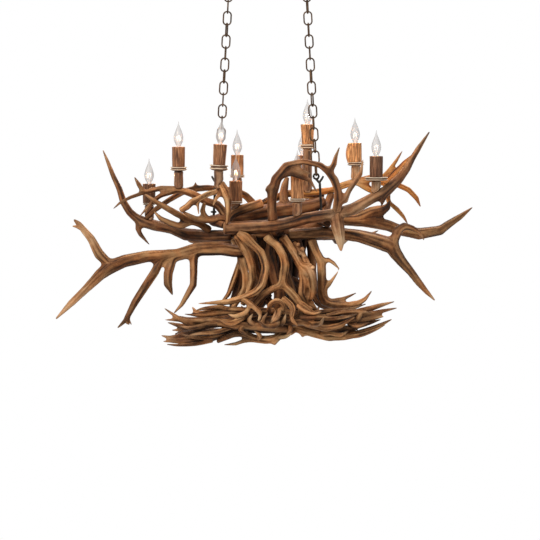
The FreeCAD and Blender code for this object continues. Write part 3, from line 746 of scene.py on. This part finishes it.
# a lighter, warmer copy of the stain: painted lamp glow on the antlers behind the lamps
painted_glow_antler = antler_with_stain_and_painted_shade("antler_with_painted_lamp_glow", (0.72, 0.36, 0.115), (0.38, 0.148, 0.037),
                      (0.130, 0.044, 0.011), (0.022, 0.009, 0.004))
deep = antler_with_stain_and_painted_shade("deep_brown_antler", (0.36, 0.172, 0.072), (0.140, 0.056, 0.021),
                      (0.040, 0.016, 0.0065), (0.009, 0.0042, 0.0025))
tan = antler_with_stain_and_painted_shade("light_brown_antler", (0.74, 0.420, 0.190), (0.39, 0.185, 0.072),
                     (0.115, 0.048, 0.018), (0.018, 0.0085, 0.0045))

# the antlers' materials carry painted shade, and the back rim and back arch a painted lamp glow
# the other antlers are stained brown
antler_materials_with_painted_light = {}
for material, nodes in (
        (tan, ["trunk_antler_%d" % k for k in range(1, 7)]
         + ["basket_antler_4", "basket_antler_6"]),
        (painted_glow_antler, ["back_rim_antler", "back_arch_antler"]),
        (pale, ["left_fork_antler", "left_small_antler", "basket_antler_5"]),
        (deep, ["back_beam_antler", "centre_bearer_antler", "left_bearer_antler",
                "right_bearer_antler", "trunk_back_antlers", "left_high_antler",
                "trunk_antler_7", "trunk_antler_8", "basket_antler_3",
                "front_beam_antler", "arch_antler"])):
    antler_materials_with_painted_light.update((node, material) for node in nodes)

# where a beam swells, as (x, y, z, radius) in millimetres
swellings = {
    "front_beam_antler": [(-44, -108, -853, 10), (-14, -114, -852, 18), (18, -119, -850, 21),
                          (50, -116, -846, 18), (80, -110, -842, 10)],
}

# the small tines that bristle from the basket and the trunk
tine_voxel = 0.0019
tine_web = 0.0005
tine_groove = 0.0010
tine_evening = 5
small_tines = {
    "trunk_back_antlers": [
        [(-20, 58, -895, 10), (-12, 66, -930, 13), (-14, 74, -980, 9)],
        [(44, 38, -895, 10), (29, 62, -945, 13), (32, 72, -1010, 10)],
        [(58, 34, -928, 10), (70, 60, -985, 13), (72, 68, -1035, 9)],
        [(74, 30, -1030, 10), (101, 56, -1055, 13), (96, 72, -1110, 9)],
        [(-32, 80, -990, 10), (2, 78, -1045, 12), (4, 78, -1108, 14), (20, 80, -1145, 9)],
        [(56, 30, -1030, 11), (56, 60, -1085, 12), (58, 74, -1120, 12), (60, 78, -1150, 8)],
    ],
    "trunk_antler_8": [
        [(152, 70, -1070, 12), (165, 68, -1105, 16), (190, 70, -1126, 14), (232, 74, -1134, 5)],
        [(136, 44, -895, 11), (122, 50, -918, 11), (118, 56, -950, 9), (128, 64, -985, 5)],
    ],
    "basket_antler_1": [
        [(-40, -132, -1172, 10), (-60, -152, -1158, 8), (-48, -158, -1134, 2)],
        [(-8, -130, -1176, 10), (-16, -152, -1158, 8), (0, -158, -1130, 2)],
        [(-72, -134, -1172, 9), (-88, -152, -1188, 8), (-66, -158, -1203, 3)],
        [(-150, -135, -1166, 10), (-196, -150, -1170, 8), (-246, -152, -1180, 7), (-292, -146, -1176, 2)],
        [(-120, -130, -1180, 9), (-170, -142, -1196, 8), (-226, -144, -1200, 6), (-270, -138, -1212, 2)],
    ],
    "basket_antler_2": [
        [(-120, -88, -1206, 9), (-172, -106, -1214, 9), (-232, -110, -1216, 7), (-288, -104, -1206, 2)],
        [(-180, -92, -1226, 9), (-236, -104, -1238, 7), (-292, -102, -1242, 5), (-330, -98, -1240, 2)],
    ],
    "basket_antler_3": [
        [(-210, -38, -1184, 9), (-262, -20, -1196, 7), (-306, -14, -1214, 2)],
    ],
    "trunk_antler_3": [
        [(84, -58, -908, 9), (106, -64, -934, 11), (124, -68, -966, 11), (140, -76, -998, 9)],
        [(102, -66, -914, 6), (99, -80, -915, 7), (98, -86, -916, 3)],
        [(112, -68, -928, 6), (114, -82, -929, 8), (115, -88, -930, 3)],
        [(108, -66, -943, 6), (105, -80, -945, 6), (104, -85, -946, 3)],
        [(119, -68, -951, 5), (122, -80, -952, 6), (123, -85, -953, 2)],
        [(132, -76, -988, 6), (136, -90, -992, 7), (138, -95, -994, 3)],
        [(142, -80, -988, 6), (148, -93, -989, 7), (150, -98, -990, 3)],
        [(140, -80, -1002, 5), (145, -92, -1006, 6), (147, -97, -1008, 2)],
    ],
    "basket_antler_4": [
        [(51, -112, -1088, 10), (81, -146, -1116, 10), (78, -160, -1150, 8), (98, -158, -1174, 3)],
        [(4, -130, -1140, 8), (8, -152, -1106, 8), (30, -160, -1092, 9), (48, -152, -1104, 8),
         (52, -140, -1130, 7)],
        [(38, -146, -1118, 7), (36, -160, -1136, 9), (22, -162, -1158, 7), (10, -156, -1166, 3)],
        [(-84, -122, -1090, 10), (-50, -146, -1108, 10), (-24, -158, -1134, 8), (-30, -158, -1158, 3)],
        [(-58, -140, -1106, 8), (-72, -154, -1130, 8), (-104, -160, -1142, 7), (-128, -156, -1136, 2)],
        [(98, -130, -1110, 9), (122, -150, -1126, 9), (150, -154, -1134, 7), (176, -148, -1128, 2)],
        [(-66, -116, -1140, 11), (-86, -142, -1152, 10), (-122, -160, -1166, 9), (-154, -158, -1156, 2)],
        [(-120, -110, -1124, 9), (-160, -122, -1116, 8), (-206, -124, -1120, 6), (-232, -120, -1126, 2)],
    ],
    "basket_antler_5": [
        [(28, -96, -1216, 10), (58, -116, -1212, 8), (84, -122, -1198, 2)],
        [(-30, -98, -1222, 9), (-26, -122, -1208, 8), (-44, -132, -1190, 3)],
    ],
    "basket_antler_6": [
        [(176, -84, -1206, 10), (206, -106, -1202, 8), (238, -112, -1207, 7), (266, -108, -1193, 2)],
        [(250, -90, -1214, 9), (300, -104, -1210, 8), (352, -100, -1192, 5), (384, -94, -1176, 2)],
        [(90, -60, -1196, 9), (72, -92, -1204, 8), (62, -108, -1194, 4)],
    ],
    "basket_antler_7": [
        [(104, -130, -1150, 11), (150, -150, -1149, 10), (212, -154, -1151, 8), (284, -148, -1141, 2)],
        [(284, -118, -1170, 9), (300, -134, -1142, 8), (309, -136, -1119, 2)],
        [(262, -120, -1164, 9), (292, -138, -1176, 8), (334, -138, -1163, 2)],
        [(14, -140, -1172, 9), (20, -158, -1150, 8), (28, -158, -1120, 2)],
        [(44, -134, -1170, 9), (52, -154, -1160, 8), (60, -156, -1134, 2)],
        [(72, -130, -1172, 9), (74, -150, -1188, 8), (62, -154, -1204, 3)],
        [(190, -128, -1146, 9), (240, -140, -1132, 8), (296, -138, -1128, 6), (340, -132, -1134, 2)],
    ],
    "basket_antler_8": [
        [(150, -68, -1140, 9), (206, -92, -1130, 8), (270, -96, -1124, 6), (322, -90, -1108, 2)],
        [(290, -74, -1150, 9), (334, -88, -1158, 7), (378, -88, -1150, 2)],
    ],
    "trunk_antler_2": [
        [(98, -92, -1100, 9), (122, -104, -1112, 8), (150, -108, -1136, 7), (186, -106, -1146, 2)],
    ],
    "left_low_antler": [
        [(-602, -131, -860, 8), (-618, -132, -853, 6), (-634, -134, -851, 2)],
        [(-463, -138, -1157, 5), (-457, -140, -1165, 5), (-449, -141, -1170, 3)],
    ],
}

grown = []
antler_nodes = sorted(n for n in frame["nodes"] if "antler" in n)


def stain(antler, node):
    """The antler stained, and put in the place of its node."""
    grown.append(antler)
    dressed(antler, antler_materials_with_painted_light.get(node, brown), "fixture")
    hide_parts(node)


for number, node in enumerate(antler_nodes):
    whole = merged(node)
    if node in swellings:
        whole = joined([whole, tapered_tine(swellings[node])])
    stain(grow_antler(object_of(whole, node + "_grown"), 100 + 10 * number), node)
for number, (node, tines) in enumerate(small_tines.items()):
    sprays = object_of(joined([tapered_tine(stations) for stations in tines]), node + "_tines")
    stain(grow_antler(sprays, 600 + 10 * number, tine_voxel, tine_web, tine_groove,
                      tine_evening), node)

# ------------------------------------------------------- candle stem stubs
# Each candle stands on a stub of tine, let into the antler below and polished
# darker than the rest by handling.

stub_voxel = 0.0018
stub_web = 0.0012
stub_groove = 0.0010
polished = antler_with_stain_and_painted_shade("polished_stub_antler", (0.40, 0.215, 0.110), (0.18, 0.084, 0.038),
                          (0.066, 0.030, 0.014), (0.020, 0.010, 0.006))
polished.node_tree.nodes["Principled BSDF"].inputs["Coat Weight"].default_value = 0.25
stubs = grow_antler(object_of(merged("candle_stems"), "candle_stem_stubs"), 7, stub_voxel,
                    stub_web, stub_groove)
see_openness_as_painted_shade(grown + [stubs])
dressed(stubs, polished, "fixture")
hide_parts("candle_stems")

# ------------------------------------------------------------ candle saucers
# A thin slice of burr under each candle, turned with two pale beads and a dark
# groove between them, and dished a little on top.


def nearest_box(boxes, point):
    return min(boxes, key=lambda box: abs((box[0].x + box[1].x) / 2 - point.x)
               + abs((box[0].y + box[1].y) / 2 - point.y))


saucer_wave = 0.0010
saucer_boxes = loose_parts("candle_saucers")
lamp_axis = {j["name"]: Vector(j["axis"]).normalized() for j in frame["joints"]}
candle_at = {}
saucer_parts = []
# the slice's outline, as shares of its radius and its thickness
bead_profile = [(0.0, -1.0), (0.62, -1.0), (0.74, -0.95), (0.84, -0.87), (0.93, -0.80),
                (0.985, -0.72), (0.985, -0.63), (0.93, -0.56), (0.87, -0.50), (0.86, -0.34),
                (0.90, -0.25), (0.975, -0.19), (0.995, -0.10), (0.96, -0.01)]
for number in range(1, 11):
    along = lamp_axis["lamp_%d" % number]
    lamp = sum(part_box("bulb_%d" % number), Vector()) / 2
    low, high = nearest_box(saucer_boxes, lamp)
    radius, thick = (high.x - low.x) / 2, high.z - low.z
    foot = lamp + along * ((high.z - abs(along.x) * radius - lamp.z) / along.z)
    turn = Vector((0, 0, 1)).rotation_difference(along).to_matrix().to_4x4()
    candle_at[number] = Matrix.Translation(foot) @ turn
    profile = [(r * radius, z * thick) for r, z in bead_profile]
    profile += [(0.88 * radius, -0.0002), (0.80 * radius, -0.0012), (0.0, -0.0012)]
    plate = spun(profile, 56)
    for vert in plate.verts:
        out = Vector((vert.co.x, vert.co.y, 0))
        wave = noise.noise(Vector((vert.co.x * 70, vert.co.y * 70, number * 3.7)))
        if out.length > 0.5 * radius:
            vert.co -= out.normalized() * (saucer_wave * (wave + 0.5))
    bmesh.ops.transform(plate, matrix=candle_at[number], verts=plate.verts)
    saucer_parts.append(plate)


def turned_burr(name):
    """Turned antler: cream on the beads, brown in the groove, clouded with age."""
    material, tree, shader = nodes_of(name)
    cloud = drift(tree, 60.0, 5.0, 0.65)
    bead = frayed(tree, kept(tree, "bead"), cloud, 0.35, 0.17)
    tone = ramp(tree, bead, (0.05, 0.045, 0.022, 0.012), (0.42, 0.24, 0.12, 0.06),
                (0.70, 0.58, 0.37, 0.22), (0.96, 0.86, 0.70, 0.52))
    feed(tree, shader, Base_Color=tone, Roughness=0.5)
    bumped(tree, shader, cloud, 0.3, 0.0005)
    return material


saucers = placed(joined(saucer_parts), "candle_saucer_slices", turned_burr("turned_burr"),
                 "fixture")
bead = []
for vert in saucers.data.vertices:
    low, high = nearest_box(saucer_boxes, vert.co)
    middle = (low + high) / 2
    level = (high.z - vert.co.z) / (high.z - low.z)
    out = math.hypot(vert.co.x - middle.x, vert.co.y - middle.y) * 2 / (high.x - low.x)
    if out > 0.91 and (level < 0.22 or 0.59 < level < 0.78):
        bead.append(0.95)
    elif out > 0.8 and 0.22 <= level <= 0.59:
        bead.append(0.22)
    else:
        bead.append(0.42 if level < 0.22 else 0.28)
keep(saucers.data, "bead", bead)
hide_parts("candle_saucers")

# ------------------------------------------------------------- candle covers
# The tube over each lamp socket, bored from a straight length of antler.  Its
# bark keeps the long grooves, and the sawn rim shows paler.

cover_radius = 0.0212
cover_bore = 0.0160
cover_foot = 0.0002       # how far a cover stands off its saucer
cover_rings = 26
cover_ridge = 0.00050
cover_wave = 0.0009
swelled_cover = 9         # a tine was sawn off its left flank
swell_reach = 0.0115
swell_side = math.radians(196)

# how light each cover's bark is
cover_tone = {1: 0.30, 2: 0.56, 3: 0.56, 4: 0.64, 5: 0.60, 6: 0.83, 7: 0.60, 8: 0.84, 9: 1.0,
              10: 0.34}
# how far a cover widens towards its rim, in metres
cover_flare = {3: 0.0016, 6: 0.0018}

cover_boxes = loose_parts("candle_sleeves")
cover_parts = []
cover_tones = []
for number in range(1, 11):
    place = candle_at[number]
    low, high = nearest_box(cover_boxes, place.translation)
    height = high.z - place.translation.z - abs(place.col[2].x) * cover_radius
    profile = [(cover_bore, cover_foot)]
    profile += [(cover_radius, cover_foot + (height - 0.0014) * k / cover_rings)
                for k in range(cover_rings + 1)]
    profile += [(cover_radius - 0.0012, height - 0.0001), (cover_bore + 0.0008, height - 0.0001),
                (cover_bore, height - 0.0010), (cover_bore, cover_foot)]
    tube = spun(profile, 72)
    rng = np.random.default_rng(40 + number)
    waves = list(zip(rng.integers(5, 30, 12), rng.uniform(0, 6.3, 12), rng.uniform(0.4, 1.0, 12)))
    flare = cover_flare.get(number, 0.0) + rng.uniform(-0.0004, 0.0006)
    for vert in tube.verts:
        if math.hypot(vert.co.x, vert.co.y) < cover_bore + 0.0015:
            continue
        angle = math.atan2(vert.co.y, vert.co.x)
        ridge = sum(size * math.sin(int(n) * angle + phase + (6 if n % 2 else -6) * vert.co.z)
                    for n, phase, size in waves)
        ridge = max(-1.5, min(1.5, ridge / 2.2))
        wave = noise.noise(Vector((math.cos(angle) * 1.4, math.sin(angle) * 1.4,
                                   vert.co.z * 24 + number * 5.1)))
        grow = (cover_ridge * ridge + cover_wave * wave
                + flare * (2 * vert.co.z / height - 1) - 0.0004)
        if number == swelled_cover:
            facing = max(0.0, math.cos(angle - swell_side))
            level = min(1.0, 0.12 + 0.83 * vert.co.z / height)
            grow += swell_reach * facing ** 3 * math.sin(math.pi * level) ** 0.7
        vert.co.x += math.cos(angle) * grow
        vert.co.y += math.sin(angle) * grow
    bmesh.ops.transform(tube, matrix=place, verts=tube.verts)
    cover_tones += [cover_tone[number]] * len(tube.verts)
    cover_parts.append(tube)


def antler_bark(name):
    """Reddish brown bark with long dark grooves and a sun-bleached bloom."""
    material, tree, shader = nodes_of(name)
    place = add_node(tree, "ShaderNodeTexCoord").outputs["Object"]
    along = add_node(tree, "ShaderNodeMapping", Vector=place,
                     Scale=(1.0, 1.0, 0.07)).outputs["Vector"]
    groove = drift(tree, 330.0, 4.0, 0.6, along)
    tone = ramp(tree, groove, (0.34, 0.075, 0.032, 0.017), (0.46, 0.20, 0.085, 0.042),
                (0.56, 0.34, 0.155, 0.078), (0.70, 0.54, 0.30, 0.17))
    band = ramp(tree, drift(tree, 95.0, 3.0, 0.5, along), (0.36, 0.45, 0.42, 0.42),
                (0.55, 1.0, 1.0, 1.0), (0.70, 1.25, 1.2, 1.15))
    banded = mixed(tree, "MULTIPLY", 0.8, tone, band)
    bloom = ramp(tree, drift(tree, 24.0, 4.0, 0.6), (0.4, 0.85, 0.85, 0.85),
                 (0.7, 1.18, 1.18, 1.18))
    bleached = mixed(tree, "MULTIPLY", 1.0, banded, bloom)
    lighter = ramp(tree, kept(tree, "tone"), (0.2, 0.62, 0.66, 0.70), (0.5, 1.0, 0.97, 0.92),
                   (1.0, 2.6, 2.7, 2.15))
    toned = mixed(tree, "MULTIPLY", 1.0, bleached, lighter)
    feed(tree, shader, Base_Color=toned, Roughness=0.62, Specular_IOR_Level=0.25)
    bumped(tree, shader, groove, 0.55, 0.0009)
    return material


covers = placed(joined(cover_parts), "candle_covers", antler_bark("candle_cover_bark"),
                "fixture")
keep(covers.data, "tone", cover_tones)
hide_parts("candle_sleeves")

# -------------------------------------------------------------- lamp sockets
# Moulded black sockets inside the covers.  They are round tubes with a rolled
# mouth, and carry the lamps by their threaded caps.

socket_waist = 0.0080
socket_edge = 0.0002
socket_boxes = loose_parts("candle_sockets")
socket_parts = []
for number in range(1, 11):
    place = candle_at[number]
    low, high = nearest_box(socket_boxes, place.translation)
    top = high.z - place.translation.z - abs(place.col[2].x) * socket_waist
    profile = [(0.0, 0.0004), (0.0078, 0.0004), (0.0086, 0.0012), (0.0086, 0.006),
               (socket_waist, 0.0066), (socket_waist, top - 0.020), (0.0086, top - 0.0194),
               (0.0088, top - 0.0010), (0.0084, top - 0.0002), (0.0078, top - 0.0002),
               (0.0074, top - 0.0010), (0.0074, top - 0.0216), (0.0, top - 0.0216)]
    socket_parts.append(spun(profile, 32, place))


def two_toned(name, scale, dark, light, **finish):
    """A plain finish that drifts a little between two tones."""
    material, tree, shader = nodes_of(name)
    tone = ramp(tree, drift(tree, scale, 2.0), (0.3, *dark), (0.7, *light))
    feed(tree, shader, Base_Color=tone, **finish)
    return material


moulded = two_toned("moulded_black_socket", 900.0, (0.016, 0.016, 0.017),
                    (0.05, 0.048, 0.046), Roughness=0.46)
sockets = placed(joined(socket_parts), "candle_lamp_sockets", moulded, "fixture")
edge_rounding(sockets, socket_edge, 1)
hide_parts("candle_sockets")

# ----------------------------------------------------------------- the lamps
# Flame tip lamps of clear glass with a soft gloss.  Each is blown from one tube
# and drawn to a point, with a brass cap, a glass mount inside and a lit filament.

lamp_height = 0.084       # from the cover's rim to the drawn tip
glass_radius = 0.0158
cap_radius = 0.0062

clear_glass, tree, shader = nodes_of("clear_lamp_glass")
facing = add_node(tree, "ShaderNodeLayerWeight", Blend=0.42).outputs["Facing"]
ripple = drift(tree, 60.0, 2.0)
glass_tone = ramp(tree, facing, (0.25, 0.76, 0.73, 0.715), (0.80, 0.50, 0.47, 0.465))
rippled = ramp(tree, ripple, (0.3, 0.92, 0.92, 0.92), (0.7, 1.0, 1.0, 1.0))
feed(tree, shader, Base_Color=mixed(tree, "MULTIPLY", 1.0, glass_tone, rippled),
     Alpha=map_range(tree, facing, 0.10, 0.95, 0.42, 0.68), Roughness=0.30,
     Specular_IOR_Level=0.4)
bumped(tree, shader, ripple, 0.08, 0.0005)

# the mount glows by its own emission: painted light from the filament, since the glows leave it unlit
mount_with_painted_glow = two_toned("lamp_mount_glass", 400.0, (0.86, 0.80, 0.72), (0.97, 0.94, 0.88),
                        Roughness=0.2, Alpha=0.55, Emission_Color=(1.0, 0.95, 0.90, 1.0),
                        Emission_Strength=0.5)
lit_wire = two_toned("lit_filament", 300.0, (1.0, 0.70, 0.36), (1.0, 0.88, 0.66),
                     Emission_Color=(1.0, 0.94, 0.86, 1.0), Emission_Strength=2.5)

brass = worn_metal("lamp_cap_brass", (0.46, 0.33, 0.15), (0.78, 0.62, 0.33), 0.42, 0.25, 220.0)

# the glass outline, as (radius, height above the cover's rim) up to the drawn tip
flame = [(0.0, -0.0034), (0.0046, -0.0034), (0.0058, -0.0020), (0.0072, 0.0030),
         (0.0100, 0.0085), (0.0132, 0.0150), (0.0152, 0.0215), (glass_radius, 0.0280),
         (0.0155, 0.0335), (0.0142, 0.0400), (0.0121, 0.0470), (0.0095, 0.0540),
         (0.0069, 0.0605), (0.0045, 0.0665), (0.0027, 0.0720), (0.0016, 0.0765),
         (0.0011, 0.0810), (0.0006, 0.0838), (0.0, 0.0838)]
filament_height = 0.0300
filament_reach = 0.0042
filament_wire = 0.00045
leg_wire = 0.00035
unlit = bpy.data.collections.new("not_lit_by_the_filaments")

for number in range(1, 11):
    body = "bulb_%d" % number
    low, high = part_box(body)
    place = candle_at[number]
    lip = high.z - place.translation.z - lamp_height
    base = low.z - place.translation.z - lip
    place = place @ Matrix.Translation((0, 0, lip))
    glass = placed(spun(flame, 40, place), "lamp_%d_glass" % number, clear_glass, body)
    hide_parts(body)
    unlit.objects.link(glass)
    # the cap's thread is a row of shallow ridges
    cap = [(0.0, base), (0.0024, base), (0.0030, base + 0.0010), (0.0050, base + 0.0026)]
    cap += [(cap_radius * (0.985 if k % 2 else 0.90), base + 0.0030 + 0.0014 * k)
            for k in range(11)]
    cap += [(cap_radius * 0.94, base + 0.0195), (cap_radius * 0.94, -0.0038),
            (cap_radius * 0.80, -0.0036), (0.0, -0.0036)]
    placed(spun(cap, 28, place), "lamp_%d_cap" % number, brass, body)
    mount = [(0.0, -0.0030), (0.0040, -0.0030), (0.0034, 0.003), (0.0020, 0.009),
             (0.0016, 0.017), (0.0024, 0.0195), (0.0010, 0.0215), (0.0, 0.0215)]
    unlit.objects.link(placed(spun(mount, 20, place), "lamp_%d_mount" % number, mount_with_painted_glow,
                              body))
    hoop = bmesh.new()
    bmesh.ops.create_circle(hoop, segments=8, radius=filament_wire,
                            matrix=Matrix.Translation((filament_reach, 0, filament_height)))
    bmesh.ops.spin(hoop, geom=hoop.verts[:] + hoop.edges[:], cent=(0, 0, filament_height),
                   axis=(0, 1, 0), angle=-math.pi, steps=16, use_merge=False)
    bmesh.ops.transform(hoop, matrix=place, verts=hoop.verts)
    leg = [(0.0, 0.0188), (leg_wire, 0.0190), (leg_wire, 0.0302), (0.0, 0.0304)]
    legs = [spun(leg, 8, place @ Matrix.Translation((x, 0, 0)))
            for x in (-filament_reach, filament_reach)]
    placed(joined([hoop] + legs), "lamp_%d_filament" % number, lit_wire, body)

# ------------------------------------------------------- the studio round it
# A plain pale floor far below the fixture, a white background, a broad key light
# from the upper left, a soft fill, a light from above, and the glow of each lamp.

floor_half = 2.6
floor_height = -2.9
light_aim = (0.0, 0.0, -0.9)
glow_power = 0.42
glow_size = 0.006
glow_drop = 0.056         # from a lamp's drawn tip to about the middle of its filament

floor_grid = bmesh.new()
bmesh.ops.create_grid(floor_grid, x_segments=2, y_segments=2, size=floor_half,
                      matrix=Matrix.Translation((0, 0, floor_height)))
floor = object_of(floor_grid, "studio_floor")
floor.data.materials.append(two_toned("pale_paper", 3.0, (0.86, 0.86, 0.86), (0.9, 0.9, 0.9),
                                      Roughness=0.9))

world = bpy.data.worlds.new("studio_air")
bpy.context.scene.world = world
world.use_nodes = True
air = world.node_tree
air.nodes.clear()
soft = add_node(air, "ShaderNodeBackground", Color=(1.0, 0.99, 0.975, 1.0), Strength=0.26)
seen = add_node(air, "ShaderNodeBackground", Color=(1.0, 1.0, 1.0, 1.0), Strength=1.0)
rays = add_node(air, "ShaderNodeLightPath")
either = rays.outputs["Is Camera Ray"]
for kind in ("Is Glossy Ray", "Is Transmission Ray"):
    either = worked_out(air, "MAXIMUM", either, rays.outputs[kind])
choose = add_node(air, "ShaderNodeMixShader")
for socket, source in zip(choose.inputs, (either, soft.outputs[0], seen.outputs[0])):
    plug(air, socket, source)
add_node(air, "ShaderNodeOutputWorld", Surface=choose.outputs[0])


def softbox(name, place, size, power, colour):
    """A rectangular light that is turned to the fixture's middle."""
    light = bpy.data.lights.new(name, "AREA")
    light.shape = "RECTANGLE"
    light.size, light.size_y = size
    light.energy = power
    light.color = colour
    box = in_scene(name, light)
    box.location = place
    aim = Vector(light_aim) - Vector(place)
    box.rotation_euler = aim.to_track_quat("-Z", "Y").to_euler()


softbox("key_softbox", (-1.9, -2.6, 1.1), (1.6, 1.6), 96.0, (1.0, 0.97, 0.93))
softbox("fill_softbox", (2.6, -2.2, -0.3), (1.8, 1.8), 24.0, (0.97, 0.98, 1.0))
softbox("top_softbox", (0.3, 0.9, 1.3), (2.0, 1.4), 40.0, (1.0, 0.98, 0.95))
# the lamps' glass and mounts take no light from the glows
for row in unlit.collection_objects:
    row.light_linking.link_state = "EXCLUDE"
for number in range(1, 11):
    low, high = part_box("bulb_%d" % number)
    glow = bpy.data.lights.new("lamp_%d_glow" % number, "POINT")
    glow.energy = glow_power
    glow.color = (1.0, 0.68, 0.38)
    glow.shadow_soft_size = glow_size
    point = in_scene("lamp_%d_glow" % number, glow)
    point.location = ((low.x + high.x) / 2, (low.y + high.y) / 2, high.z - glow_drop)
    point.light_linking.receiver_collection = unlit

view_middle = Vector((0.008, 0.0, -1.003))
view_distance = 9.0
view_raise = math.radians(4.0)
eye = bpy.data.cameras.new("photo_view")
eye.lens = 181.8
eye.sensor_width = 36.0
eye.clip_end = 60.0
camera = in_scene("photo_view", eye)
camera.location = view_middle + view_distance * Vector((0, -math.cos(view_raise),
                                                        math.sin(view_raise)))
camera.rotation_euler = Euler((math.pi / 2 - view_raise, 0, 0))
bpy.context.scene.camera = camera
bpy.context.scene.view_settings.view_transform = "Standard"
